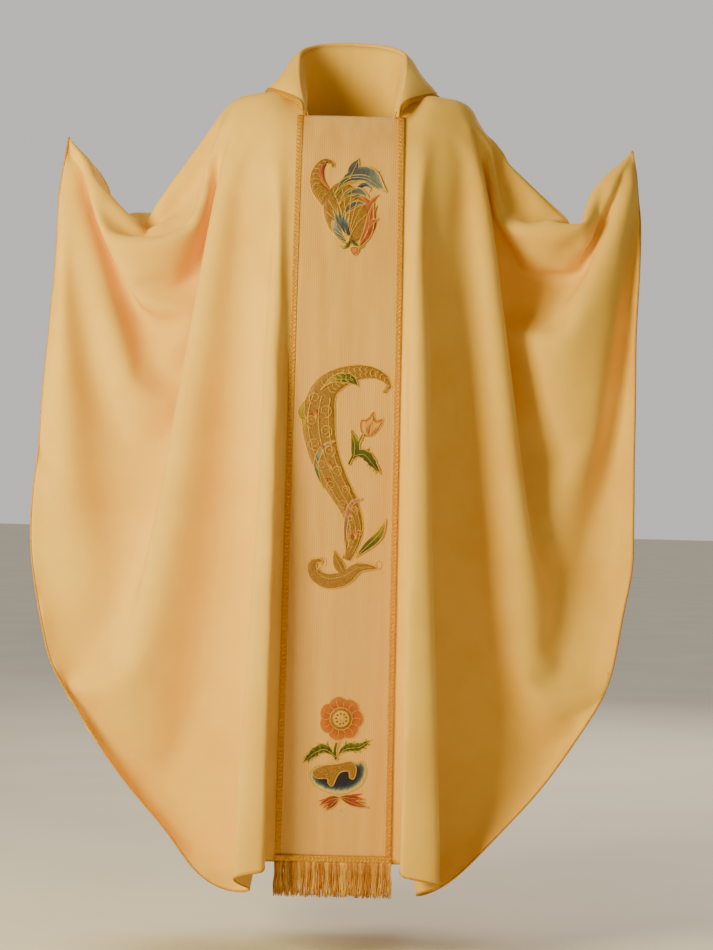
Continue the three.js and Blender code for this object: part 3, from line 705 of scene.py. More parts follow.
def subdivided(points, faces, levels, smooth=True):
    """Points and faces of a finer surface, always in the same order for the same faces."""
    obj = placed("cage", new_mesh("cage", points, faces))
    modifier = obj.modifiers.new("finer", "SUBSURF")
    modifier.levels = modifier.render_levels = levels
    modifier.subdivision_type = "CATMULL_CLARK" if smooth else "SIMPLE"
    evaluated = obj.evaluated_get(bpy.context.evaluated_depsgraph_get())
    made = evaluated.to_mesh()
    co = np.zeros(len(made.vertices) * 3)
    made.vertices.foreach_get("co", co)
    corners = np.zeros(len(made.loops), int)
    made.loops.foreach_get("vertex_index", corners)
    evaluated.to_mesh_clear()
    bpy.data.objects.remove(obj)
    return co.reshape(-1, 3), corners.reshape(-1, 4)


def part_of(points, faces, keep):
    """The faces where keep is true, with only their points."""
    chosen = faces[keep]
    used, renumbered = np.unique(chosen, return_inverse=True)
    return points[used], renumbered.reshape(chosen.shape), used


def normals_of(points, faces):
    corners = points[faces]
    face_normals = np.cross(corners[:, 2] - corners[:, 0], corners[:, 3] - corners[:, 1])
    sums = np.zeros_like(points)
    for k in range(4):
        np.add.at(sums, faces[:, k], face_normals)
    return unit(sums)


def rings_of(following):
    """Closed rings through a table of which number follows which, each from its lowest number."""
    rings = []
    while following:
        here = min(following)
        ring = []
        while here in following:
            ring.append(here)
            here = following.pop(here)
        rings.append(ring)
    return rings


def rim_loops(faces):
    """Closed lines of vertices round the open edges of a surface, the longest first."""
    edges = np.vstack([faces[:, [k, (k + 1) % 4]] for k in range(4)])
    edges = edges[edges[:, 0] != edges[:, 1]]
    _, first, count = np.unique(np.sort(edges, 1), axis=0, return_index=True, return_counts=True)
    following = {int(a): int(b) for a, b in edges[first[count == 1]]}
    return sorted(map(np.array, rings_of(following)), key=len, reverse=True)


def flat_area(pattern, faces):
    """Area of the faces in the pattern."""
    a, b, c, d = (pattern[faces[:, k]] for k in range(4))
    p, q = c - a, d - b
    return float(np.abs(p[:, 0] * q[:, 1] - p[:, 1] * q[:, 0]).sum() / 2)


def even_hem(points, flat, rim):
    """Takes the small ripples out of the sides' hem, and carries the move a little way inwards."""
    step = np.linalg.norm(np.diff(points[rim], axis=0), axis=1).mean()
    reach = round(HEM_EVENED / step)
    kernel = np.hanning(2 * reach + 3)[1:-1]
    ring = points[rim]
    wrapped = np.vstack([ring[-reach:], ring, ring[:reach]])
    evened = np.stack([np.convolve(wrapped[:, k], kernel / kernel.sum(), "valid") for k in range(3)], 1)
    u, down = np.abs(flat[rim]).T
    free = ease(0.30, 0.45, u) * ease(0.05, 0.2, np.hypot(u - TIP_U, down))
    moves = (evened - ring) * free[:, None]
    tree = KDTree(len(rim))
    for k, place in enumerate(flat[rim]):
        tree.insert((*place, 0), k)
    tree.balance()
    for k, place in enumerate(flat):
        _, nearest, gap = tree.find((*place, 0))
        if gap < HEM_REACH:
            points[k] += moves[nearest] * (1 - gap / HEM_REACH) ** 2


def make_cloth():
    """The front, the back, their hem cords and the tapes over the shoulder seams."""
    pattern, faces, on_edge, cells = cut_pattern()
    hung = drape(pattern, faces, on_edge)
    points, quads = subdivided(hung, faces, 2)
    flat, _ = subdivided(np.pad(pattern, ((0, 0), (0, 1))), faces, 2, smooth=False)
    flat = flat[:, :2]
    middle_v = flat[quads][:, :, 1].mean(1)
    outer = rim_loops(quads)[0]
    even_hem(points, flat, outer)
    sheets = {}
    for name, face in FACES.items():
        keep = middle_v * face < 0
        sheet_points, sheet_faces, used = part_of(points, quads, keep)
        sheet = add_piece(f"{name}_cloth", sheet_points, sheet_faces, "cream_cloth",
                          replaced=(f"{name}_left_cloth", f"{name}_right_cloth"))
        thicken(sheet, CLOTH_THICKNESS)
        own = np.nonzero(flat[outer, 1] * face <= 1e-6)[0]
        rim = outer[own]
        breaks = np.nonzero(np.diff(own) > 1)[0]
        if len(breaks):
            rim = np.roll(rim, -(breaks[0] + 1))
        path = evenly(points[rim], 1.8 * MM)
        cord = add_piece(f"{name}_hem_cord", *cord_mesh(path, PIPING_RADIUS, 7, 5 * MM), "gold_braid",
                         replaced=(f"{name}_left_hem_piping", f"{name}_right_hem_piping"))
        area = flat_area(flat[used], sheet_faces)
        sheets[name] = (sheet, cord, area)
    make_tapes(hung, cells, faces)
    return sheets


def make_tapes(hung, cells, faces):
    """Narrow tapes inside, over both shoulder seams, from the neck to near the wing tips."""
    quads = np.array([f for f in faces if len(f) == 4])
    inward = -normals_of(hung, quads)
    if inward[np.argmin(np.abs(cells[:, 0] - NECK_COLUMNS - 1) + np.abs(cells[:, 1])), 2] > 0:
        inward = -inward
    for name, side in (("left", -1), ("right", 1)):
        column = cells[quads][:, :, 0].mean(1) * side
        row = np.abs(cells[quads][:, :, 1].mean(1))
        keep = (row < 1) & (column > NECK_COLUMNS) & (column * CELL < 0.58)
        points, tape_faces, _ = part_of(hung + 0.0026 * inward, quads, keep)
        points, tape_faces = subdivided(points, tape_faces.tolist(), 2)
        tape = add_piece(f"shoulder_tape_{name}", points, tape_faces, "lining_cloth",
                         replaced=(f"{name}_shoulder_tape",))
        thicken(tape, 0.0008)


# ---- the panels with their braids ----
def panel_half(v):
    share = (NECK_FRONT_Z - on_profile(v)[1]) / (NECK_FRONT_Z - PANEL_FOOT_Z)
    return mix(PANEL_TOP_HALF, PANEL_FOOT_HALF, share)


def plait(run, across, pitch=0.0066):
    """Height from 0 to 1 of a plaited braid: chevrons along its run, across is 1 at its edges."""
    return ease(0.1, 0.9, np.abs(((run / pitch + 0.55 * across) % 1) - 0.5) * 2)


def woven_band(face, inner_x, width, v, lift, name, replaced):
    """A flat braid of plaited chevrons between two corded edges. inner_x gives its start at each v."""
    columns = 13
    share = np.linspace(0, 1, columns)[None, :]
    v = v[:, None]
    across = np.abs(share - 0.5) * 2
    edge_cord = 1 - np.clip(np.abs(across - 0.86) / 0.14, 0, 1) ** 2
    twist = 0.75 + 0.25 * np.sin(2 * math.pi * v / 0.004)
    relief = np.where(across > 0.72, 0.0007 * edge_cord * twist, 0.0008 * plait(v, across))
    rim = np.where(across > 0.99, -0.0008, 0)
    x = inner_x[:, None] + width * share
    points = on_panel(face, x, v + 0 * share, lift + relief + rim)
    return add_piece(name, points.reshape(-1, 3), grid_faces(len(v), columns), "gold_braid",
                     replaced=replaced)


def make_panel(name, face, top_z):
    """A satin panel that hangs over the cloth, with a braid along both sides."""
    v = np.arange(v_at(top_z), v_at(PANEL_FOOT_Z), 0.005)
    share = np.linspace(-1, 1, 45)
    x = share[None, :] * (panel_half(v)[:, None] - 0.001)
    ripple = 0.0004 * np.sin(v[:, None] * 31 + 2.2 * share[None, :]) * np.cos(share[None, :] * 4.2)
    points = on_panel(face, x, v[:, None] + 0 * x, SATIN_LIFT + ripple * (1 - share[None, :] ** 4))
    satin = add_piece(f"{name}_satin", points.reshape(-1, 3), grid_faces(len(v), len(share)),
                      "panel_satin",
                      replaced=(f"{name}_panel_satin", f"{name}_panel_interlining"))
    thicken(satin, 0.001)
    braids = []
    steps = np.arange(v[0], v_at(PANEL_FOOT_Z + 0.006), 0.0011)
    half = panel_half(steps)
    for side_name, side in (("left", -1), ("right", 1)):
        braids.append(woven_band(face, side * half, -side * BRAID_WIDTH, steps, 0.0042,
                                 f"{name}_braid_{side_name}", (f"{name}_panel_braid_{side_name}",)))
    flat = (2 * PANEL_FOOT_HALF, float(v[-1] - v[0]))
    return satin, braids, flat


# ---- fringes ----
def make_fringe(name, face):
    """A plaited heading, and two rows of twisted silk threads that swing from it."""
    low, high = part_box(f"{name}_fringe_threads")
    head_low, head_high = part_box(f"{name}_fringe_heading")
    skin = (low.y + high.y) / 2
    parts, shades = [], []
    for row, (gap, length) in enumerate(THREAD_ROWS):
        for x in np.arange(low.x + 0.0015 + row * gap / 2, high.x - 0.001, gap):
            drop = (high.z - low.z) * (length - 0.06 * random.random())
            t = np.linspace(0, 1, 12)
            sway = 0.0016 * np.sin(2 * math.pi * (1.2 * t + random.random())) * t
            lean = (0.004 * math.sin(x * 230 + 2 * row) + 0.006 * (random.random() - 0.5)) * t
            depth = 0.0011 * np.sin(2 * math.pi * (1.1 * t + random.random())) * t
            path = np.stack([
                np.clip(x + sway + lean, low.x, high.x),
                skin + face * (0.0013 - 0.00065 * row + depth),
                high.z + THREAD_TUCK - t * (drop + THREAD_TUCK),
            ], 1)
            radius = THREAD_RADIUS * (1 - 0.3 * t**3)
            parts.append(cord_mesh(path, radius, 5, 0.006, depth=0.22))
            # Painted light: the clumps make bands of lighter and darker strands that stand for lit and
            # shaded clumps of thread, and chance adds more spread.
            clump_light = 0.5 + 0.5 * math.sin(x * 420 + 1.7 * math.sin(x * 160))
            shades.append(np.full(len(parts[-1][0]), 0.2 + 0.35 * clump_light + 0.35 * random.random()))
    threads = add_piece(f"{name}_fringe_silk", *together(parts), "gold_fringe",
                        body=f"{name}_fringe", replaced=(f"{name}_fringe_threads",),
                        shade=np.concatenate(shades))
    steps = np.arange(head_low.x, head_high.x, 0.0011)
    columns = 11
    share = np.linspace(0, 1, columns)[None, :]
    across = np.abs(share - 0.5) * 2
    relief = 0.0009 * plait(steps[:, None], across, 0.006) - np.where(across > 0.99, 0.0009, 0)
    y = head_high.y if face > 0 else head_low.y
    points = np.stack([
        steps[:, None] + 0 * share,
        y + face * (relief - 0.0006),
        mix(head_low.z - 0.0016, head_high.z, share) + 0 * steps[:, None],
    ], -1)
    heading = add_piece(f"{name}_heading_braid", points.reshape(-1, 3),
                        grid_faces(len(steps), columns), "gold_braid",
                        replaced=(f"{name}_fringe_heading",))
    return threads, thicken(heading, 0.0012, -face)


# ---- collar: lines from the front end round to the middle of the back, in millimetres ----
SEAM_LINE = [(71, -86, -36), (72, -60, -8), (73, -20, 8), (73, 20, 0),
             (71, 47, -19), (42, 63, -25), (0, 64, -25)]
ROLL_LINE = [(73, -89, -26), (83, -60, 16), (87, -20, 58), (84, 16, 86),
             (60, 50, 102), (30, 64, 108), (0, 68, 110)]
FALL_LINE = [(74, -93, -37), (98, -70, -10), (137, -14, 9), (139, 44, 8),
             (108, 88, 2), (50, 108, -2), (0, 112, -4)]
ROLL_RADIUS = 0.0030
COLLAR_BRAID_WIDTH = 0.0095


def collar_line(points):
    """Both halves of a collar line, from one front end to the other, evenly spaced."""
    half = smooth_curve(points, 20) * MM
    count = 64
    half = evenly(half, lengths_along(half)[-1] / count)
    mirrored = half[::-1] * (-1, 1, 1)
    return np.vstack([half[:-1], mirrored])


def make_collar():
    """A stand sewn to the neck, and a fall that rolls over it and turns down outside."""
    seam, roll, fall = (collar_line(line) for line in (SEAM_LINE, ROLL_LINE, FALL_LINE))
    down = unit(fall - roll)
    along = unit(np.gradient(roll, axis=0))
    outward = unit(np.cross(along, down))
    outward *= np.sign((outward * (roll * (1, 1, 0))).sum(1))[:, None]
    reach = np.linalg.norm(fall - roll, axis=1)[:, None]
    radius = np.minimum(ROLL_RADIUS, reach * 0.3)
    rows = []
    for angle in np.linspace(math.pi * 1.05, 0, 9):
        centre = roll + down * radius
        rows.append(centre + radius * (math.cos(angle) * outward - math.sin(angle) * down))
    for t in np.linspace(0, 1, 25)[1:]:
        crown = 0.10 * reach * math.sin(math.pi * t) ** 0.8 * (1 - 0.3 * t)
        wave = 0.0016 * np.sin(np.arange(len(roll)) * 0.31)[:, None] * t
        rows.append(roll + down * (radius + t * (reach - radius))
                    + outward * (radius * (1 - 0.4 * t) + np.minimum(crown, 0.005) + wave))
    points = np.stack(rows)
    fall_piece = add_piece("collar_fall_cloth", points.reshape(-1, 3), grid_faces(len(rows), len(roll)),
                           "cream_cloth", replaced=("collar_fall", "collar_interfacing"))
    thicken(fall_piece, 0.0018)

    stand_rows = []
    top = roll + down * radius - outward * (radius - 0.0004)
    for t in np.linspace(0, 1, 13):
        stand_rows.append(mix(top, seam, t) - 0.0022 * math.sin(math.pi * t) * outward)
    stand = np.stack(stand_rows)
    stand_piece = add_piece("collar_stand_cloth", stand.reshape(-1, 3), grid_faces(13, len(roll)),
                            "cream_cloth", replaced=("collar_stand",))
    thicken(stand_piece, 0.0016)

    edge = evenly(points[-1], 1.1 * MM)
    run, round_fall = lengths_along(edge), lengths_along(points[-1])
    inward, lift = (np.stack([np.interp(run, round_fall, row[:, k]) for k in range(3)], 1)
                    for row in (points[-6], outward))
    columns = 9
    share = np.linspace(0, 1, columns)[None, :, None]
    across = np.abs(share - 0.5) * 2
    height = 0.0014 + 0.0008 * plait(run[:, None, None], across) - np.where(across > 0.99, 0.0009, 0)
    band = COLLAR_BRAID_WIDTH * share
    braid = edge[:, None] + band * unit(inward - edge)[:, None] + height * lift[:, None]
    edge_piece = add_piece("collar_edge_braid", braid.reshape(-1, 3), grid_faces(len(edge), columns),
                           "gold_braid", replaced=("collar_braid",))
    thicken(edge_piece, 0.0008, -1)


# ---- embroidery: each motif's own axes are x across and y up the panel, in millimetres ----
MOTIFS = {  # the places of their middles, x and v
    "crest": (0.002, v_at(-0.183)), "scroll": (0.002, v_at(-0.616)), "posy": (0.004, v_at(-1.062)),
}
RELIEF_CELL = 0.9 * MM


def outlines_of(node):
    """Closed outlines of a CAD plate on the front panel, as (x, v) points."""
    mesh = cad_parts[node].data
    co = np.array([v.co for v in mesh.vertices], float)
    v = np.interp(-co[:, 2], -PROFILE[:, 1], PROFILE_V)
    out = -co[:, 1] - on_profile(v)[0]
    top = out > (out.min() + out.max()) / 2
    keys = {}
    number = [keys.setdefault(tuple(np.round(c, 5)), len(keys)) for c in co]
    place = {number[k]: (co[k, 0], v[k]) for k in range(len(co))}
    mesh.calc_loop_triangles()
    edges = {}
    for triangle in mesh.loop_triangles:
        corners = list(triangle.vertices)
        if all(top[k] for k in corners):
            ids = [number[k] for k in corners]
            for a, b in zip(ids, ids[1:] + ids[:1]):
                edges[(a, b)] = edges.get((a, b), 0) + 1
    following = {a: b for a, b in edges if (b, a) not in edges}
    return [np.array([place[k] for k in ring]) for ring in rings_of(following) if len(ring) > 4]


def inside_of(loops, x, v):
    """Even-odd test of points against closed outlines."""
    odd = np.zeros(x.shape, bool)
    for loop in loops:
        for (xa, va), (xb, vb) in zip(loop, np.roll(loop, -1, 0)):
            if va != vb:
                crosses = (va > v) != (vb > v)
                odd ^= crosses & (x < xa + (v - va) * (xb - xa) / (vb - va))
    return odd


def nearest_on(loops, points):
    """Distance from each point to the outlines, and the nearest place on them."""
    best = np.full(len(points), 1e9)
    place = points.copy()
    for loop in loops:
        for a, b in zip(loop, np.roll(loop, -1, 0)):
            span = b - a
            t = np.clip(((points - a) @ span) / max(span @ span, 1e-12), 0, 1)
            foot = a + t[:, None] * span
            gap = np.linalg.norm(points - foot, axis=1)
            nearer = gap < best
            best[nearer] = gap[nearer]
            place[nearer] = foot[nearer]
    return best, place


def stitched_relief(node, material, base, dome, width, couched, shade):
    """Raised stitching over one CAD plate, domed from its outline, with rows of couching."""
    loops = outlines_of(node)
    everything = np.vstack(loops)
    low, high = everything.min(0) - RELIEF_CELL, everything.max(0) + RELIEF_CELL
    xs = np.arange(low[0], high[0] + RELIEF_CELL, RELIEF_CELL)
    vs = np.arange(low[1], high[1] + RELIEF_CELL, RELIEF_CELL)
    x, v = (g.ravel() for g in np.meshgrid(xs, vs, indexing="ij"))
    inside = inside_of(loops, x, v)
    flat = np.stack([x, v], 1)
    gap, foot = nearest_on(loops, flat)
    rim = ~inside & (gap < 0.8 * RELIEF_CELL)
    kept = (inside | rim).reshape(len(xs), len(vs))
    flat[rim] = foot[rim]
    gap[rim] = 0
    full = kept[:-1, :-1] & kept[1:, :-1] & kept[1:, 1:] & kept[:-1, 1:]
    number = np.arange(len(x)).reshape(len(xs), len(vs))
    quads = np.stack([number[:-1, :-1][full], number[1:, :-1][full], number[1:, 1:][full],
                      number[:-1, 1:][full]], 1)
    quads = quads[inside[quads].any(1)]
    rise = dome * np.sqrt(1 - (1 - np.clip(gap / width, 0, 1)) ** 2)
    rows = couched * (0.5 - 0.5 * np.cos(2 * math.pi * gap / 0.0026)) * (gap > 0.001)
    grain = 0.00010 * np.sin(2 * math.pi * (flat[:, 0] + 0.6 * flat[:, 1]) / 0.0021) * (gap > 0.001)
    points = on_panel(-1, flat[:, 0], flat[:, 1], base - 0.0002 + rise + rows + grain)
    tone = np.clip(gap / width, 0, 1)
    if shade is not None:
        local = (flat - low) / (high - low)
        tone = shade(local[:, 0], 1 - local[:, 1], tone)
    used, faces = np.unique(quads, return_inverse=True)
    faces = faces.reshape(-1, 4)
    piece = add_piece(f"{node}_stitching", points[used], faces[:, ::-1], material,
                      replaced=(node,), shade=tone[used])
    return piece, loops


def couched_cord(loops, lift, radius=0.00075, pitch=0.0030):
    """Cord round each closed outline."""
    parts = []
    for loop in loops:
        ring = np.vstack([loop, loop[:1]])
        line = evenly(ring, 1.1 * MM)[:-1]
        if len(line) < 8:
            continue
        path = on_panel(-1, line[:, 0], line[:, 1], lift)
        parts.append(cord_mesh(path, radius, 6, pitch, closed=True))
    return parts


def vein(motif, points, lift, radius=0.0006, pitch=0.0028):
    """Cord along an open line through a few points of a motif's own axes."""
    x0, v0 = MOTIFS[motif]
    line = evenly(smooth_curve(points, 12), 1.1)
    path = on_panel(-1, x0 + line[:, 0] * MM, v0 - line[:, 1] * MM, lift)
    thin = radius * (1 - 0.5 * np.linspace(0, 1, len(path)) ** 2)
    return cord_mesh(path, thin, 6, pitch)


def veins(motif, lines, lift, radius):
    return [vein(motif, line, lift, radius) for line in lines]


BLADE_LANES = np.array((-1, -0.97, -0.6, 0, 0.6, 0.97, 1))


def blade(motif, spine, width, lift, rise=0.9):
    """A tapering leaf of satin stitch along a line: points, faces, and a shade from root to tip."""
    x0, v0 = MOTIFS[motif]
    line = evenly(smooth_curve(spine, 12), 1.3)
    share = np.linspace(0, 1, len(line))
    ahead = unit(np.gradient(line, axis=0))
    across = np.stack([-ahead[:, 1], ahead[:, 0]], 1)
    swell = 0.06 + 0.94 * np.sin(math.pi * share ** 0.75)
    places = line[:, None] + (width * swell[:, None] * BLADE_LANES)[..., None] * across[:, None]
    height = lift + rise * MM * np.sqrt(1 - BLADE_LANES ** 2) * swell[:, None]
    height[:, (0, -1)] = SATIN_LIFT + 0.0002
    points = on_panel(-1, x0 + places[..., 0] * MM, v0 - places[..., 1] * MM, height)
    lanes = len(BLADE_LANES)
    return points.reshape(-1, 3), grid_faces(len(line), lanes), np.repeat(share, lanes)


def blades(motif, lift, lines, rise=0.9):
    """Blades along lines that each come with their width."""
    return [blade(motif, line, width, lift, rise) for line, width in lines]


def toothed(motif, spine, length, width, lift, shares=(0.22, 0.38, 0.54, 0.7, 0.84)):
    """Small blades on both sides of a leaf's spine, leaning towards its tip."""
    spine = smooth_curve(spine, 12)
    teeth = []
    for share in shares:
        for side in (-1, 1):
            root, heading, across = beside(spine, share, 0)
            tip = root + length * (1.15 - 0.7 * share) * (0.72 * heading + 0.7 * side * across)
            bend = (root + tip) / 2 + 0.12 * length * heading
            teeth.append(blade(motif, [root, bend, tip], width, lift))
    return teeth


def spiral(centre, start, end, turns, angle=0.0, hand=1, steps=26):
    """Points of a spiral from one radius to another."""
    t = np.linspace(0, 1, steps)
    turn = angle + hand * 2 * math.pi * turns * t
    radius = mix(start, end, t)
    return np.stack([centre[0] + radius * np.cos(turn), centre[1] + radius * np.sin(turn)], 1)


def beside(spine, share, offset):
    """The point at a share of a smooth line, moved sideways by an offset, and its direction."""
    at = share * lengths_along(spine)[-1]
    point, ahead, behind = (at_lengths(spine, at + step) for step in (0, 1, -1))
    heading = (ahead - behind) / max(np.linalg.norm(ahead - behind), 1e-9)
    across = np.array((-heading[1], heading[0]))
    return point + offset * across, heading, across


def dot(motif, x, y, radius, lift, rise):
    """A small raised knot: rings of points up to a crown."""
    x0, v0 = MOTIFS[motif]
    rings = []
    for level in np.linspace(0, math.pi / 2 * 0.94, 4):
        turn = np.arange(8) * 2 * math.pi / 8
        r = radius * math.cos(level)
        rings.append(on_panel(-1, x0 + (x + r * np.cos(turn)) * MM, v0 - (y + r * np.sin(turn)) * MM,
                              lift + rise * math.sin(level)))
    faces = [tuple(f) for f in grid_faces(4, 8, wrap=True)]
    faces.append(tuple(range(24, 32)))
    return np.vstack(rings), faces


LOW, HIGH, TOP = SATIN_TOP, SATIN_TOP + 0.0012, SATIN_TOP + 0.0024

CREST_NODES = [
    # node, material, base, dome height, dome width, height of the couched rows, shade
    ("crest_shell", "gold_thread", LOW, 1.3, 7, 0.35, None),
    ("crest_plume_top", "blue_thread", HIGH, 1.2, 5, 0.0,
     lambda x, y, d: 0.85 * x + 0.25 * (1 - d)),
    ("crest_plume_middle", "blue_thread", HIGH, 1.0, 3, 0.0,
     lambda x, y, d: 0.8 * x + 0.2 * (1 - d)),
    ("crest_plume_low", "blue_thread", HIGH, 1.0, 3, 0.0,
     lambda x, y, d: 0.8 * x + 0.2 * (1 - d)),
    ("crest_fan", "blue_thread", HIGH, 1.2, 6, 0.0,
     lambda x, y, d: 0.25 + 0.7 * (1 - x)),
    ("crest_leaf", "coral_thread", HIGH, 0.9, 3, 0.0, lambda x, y, d: 0.2 + 0.7 * y),
    ("crest_bud", "coral_thread", HIGH, 0.9, 3, 0.0, None),
]
SCROLL_NODES = [
    ("scroll_horn", "gold_thread", LOW, 1.6, 9, 0.35, None),
    ("scroll_foot", "gold_thread", HIGH, 1.0, 4, 0.3, None),
    ("scroll_cap_leaf", "green_thread", HIGH, 1.0, 3, 0.0, lambda x, y, d: 0.9 - 0.7 * x),
    ("scroll_side_leaf", "green_thread", HIGH, 0.8, 3, 0.0, lambda x, y, d: 0.6 + 0.4 * y),
    ("scroll_blue_band", "blue_thread", HIGH, 0.9, 2.5, 0.0, lambda x, y, d: 0.55 + 0.3 * y),
    ("scroll_mauve_band", "mauve_thread", HIGH, 0.9, 2.5, 0.0, lambda x, y, d: y),
    ("scroll_low_leaf", "green_thread", HIGH, 1.0, 3, 0.0, lambda x, y, d: 0.15 + 0.75 * y),
    ("tulip_bloom", "orange_thread", LOW, 1.2, 5, 0.0, lambda x, y, d: 0.15 + 0.6 * d),
    ("tulip_leaves", "green_thread", HIGH, 0.9, 3, 0.0, lambda x, y, d: 0.15 + 0.5 * y),
]
POSY_NODES = [
    ("flower_petals", "coral_thread", LOW, 1.2, 5, 0.0,
     lambda x, y, d: 0.1 + 1.7 * np.hypot(x - 0.5, y - 0.5)),
    ("flower_ring", "gold_thread", HIGH, 1.0, 3, 0.3, None),
    ("flower_heart", "gold_cord", TOP, 1.0, 5, 0.3, None),
    ("flower_leaves", "green_thread", LOW, 1.0, 3, 0.0, lambda x, y, d: 0.15 + 0.5 * y),
    ("posy_bowl", "blue_thread", LOW, 1.4, 15, 0.0,
     lambda x, y, d: 1.1 - 0.95 * d + 0.2 * (0.5 - y)),
    ("posy_froth", "gold_thread", HIGH, 0.9, 3, 0.3, None),
    ("posy_tuft", "red_thread", LOW, 0.9, 3, 0.0, lambda x, y, d: np.abs(x - 0.4) * 1.6),
    ("posy_bead_1", "pearl_bead", LOW, 1.6, 2.1, 0.0, None),
    ("posy_bead_2", "pearl_bead", LOW, 1.6, 2.1, 0.0, None),
    ("posy_bead_3", "pearl_bead", LOW, 1.6, 2.1, 0.0, None),
]


def crest_lines():
    """Ribs of the shell and fan, and spines of the plumes and leaves."""
    cords = []
    for x, y in ((-38, -12), (-36, 8), (-28, 24), (-14, 32), (2, 29), (14, 16), (22, 2), (28, -14)):
        middle = (x * 0.45 - 1, (y - 62) * 0.5 + 6)
        cords.append(vein("crest", [(-3, -62), middle, (x, y)], LOW + 0.0018, 0.0008))
    curl = smooth_curve([(-34, 8), (-52, 26), (-56, 50), (-44, 68), (-32, 66)], 12)
    for share in np.linspace(0.08, 0.86, 9):
        half = 12 * (1 - share) + 2
        a, heading, _ = beside(curl, share, half * 0.8)
        b, _, _ = beside(curl, share, -half * 0.8)
        cords.append(vein("crest", [a, (a + b) / 2 + 3 * heading, b], LOW + 0.0018, 0.0005))
    cords += veins("crest", (
        [(-24, 18), (-4, 42), (24, 44), (44, 32), (56, 23)], [(-2, 42), (5, 58), (11, 72)],
        [(-8, 32), (6, 36), (20, 36)], [(-18, -2), (-6, 14), (12, 19), (28, 12)],
        [(-12, -22), (0, -8), (14, 0), (24, 0)]), HIGH + 0.0014, 0.0005)
    for x, y in ((-22, -52), (-26, -42), (-26, -33), (-18, -32), (-8, -38)):
        middle = ((x - 3) / 2 + 1, (y - 58) / 2 - 1)
        cords.append(vein("crest", [(-3, -58), middle, (x, y)], HIGH + 0.0015, 0.0005))
    return cords + veins("crest", (
        [(17, -66), (29, -44), (33, -14), (37, 2)], [(23, -56), (32, -36), (44, -24)]),
        HIGH + 0.0012, 0.0005)


HORN_SPINE = [(62, 132), (70, 148), (44, 164), (4, 160), (-32, 136), (-42, 92), (-34, 40), (-14, -8),
              (10, -50), (22, -92), (8, -136)]
TULIP_LEAF = [(18, 31), (32, 33), (45, 20), (57, 5)]
TULIP_STEM = [(16, 28), (17, 48), (11, 68)]
FLOWER_LEAVES = [(-3, -5), (-20, 6), (-36, 1), (-52, -13)], [(0, -3), (14, 8), (34, 11), (50, 21)]


def horn_half(t):
    return np.where(t < 0.42, mix(3, 27, np.clip(t / 0.42, 0, 1) ** 1.1),
                    mix(27, 7, np.clip((t - 0.42) / 0.58, 0, 1) ** 1.3))


def scroll_lines():
    """Scales on the curl of the horn, spirals down its body, and spines of the leaves."""
    cords, blossoms = [], []
    spine = smooth_curve(HORN_SPINE, 14)
    for share in np.linspace(0.06, 0.30, 13):
        half = float(horn_half(share)) * 0.82
        for part in (-0.5, 0.5) if half > 8 else (0,):
            wide = half / (2 if half > 8 else 1)
            a, heading, _ = beside(spine, share, part * half + wide * 0.9)
            b, _, _ = beside(spine, share, part * half - wide * 0.9)
            cords.append(vein("scroll", [a, (a + b) / 2 + 4 * heading, b], LOW + 0.0021, 0.0007))
    for n, share in enumerate(np.linspace(0.36, 0.93, 15)):
        half = float(horn_half(share))
        side = 1 if n % 2 else -1
        centre, heading, _ = beside(spine, share, side * half * 0.42)
        angle = math.atan2(heading[1], heading[0])
        size = half * 0.42
        curl = spiral(centre, size, size * 0.15, 1.6, angle, side)
        cords.append(vein("scroll", curl, LOW + 0.0022, 0.0007))
        if n % 3 == 1:
            blossom, _, _ = beside(spine, share + 0.02, -side * half * 0.45)
            blossoms.append(blossom)
    for offset in (-0.62, 0.62, 0.0):
        line = [beside(spine, share, offset * float(horn_half(share)))[0]
                for share in np.linspace(0.34, 0.97, 14)]
        cords.append(vein("scroll", line, LOW + 0.0021, 0.0007))
    for lift, radius, lines in (
            (HIGH + 0.0013, 0.0005, (
                [(-34, -146), (-38, -156), (-22, -166), (4, -162), (28, -148), (50, -147)],
                [(4, -156), (-5, -140), (-11, -126)], [(-38, 136), (-20, 150), (6, 152), (18, 143)],
                [(-59, 86), (-69, 97), (-65, 114)], [(24, -130), (42, -112), (59, -94), (69, -74)])),
            (LOW + 0.0015, 0.0005, (
                [(38, 64), (36, 78), (32, 87)], [(42, 64), (44, 84), (46, 98)],
                [(45, 64), (54, 78), (60, 88)])),
            (HIGH + 0.0012, 0.0004, (TULIP_STEM, TULIP_LEAF)),
            (LOW + 0.0006, 0.0008, (
                spiral((-30, -142), 11, 2, 1.1, 3.6, -1), spiral((58, -142), 8, 2, 0.9, -1.6, 1)))):
        cords += veins("scroll", lines, lift, radius)
    petals = []
    for x, y in blossoms:
        for k in range(5):
            turn = 2 * math.pi * k / 5
            petals.append(dot("scroll", x + 2.3 * math.cos(turn), y + 2.3 * math.sin(turn), 1.5,
                              LOW + 0.0014, 0.0014))
    return cords, petals


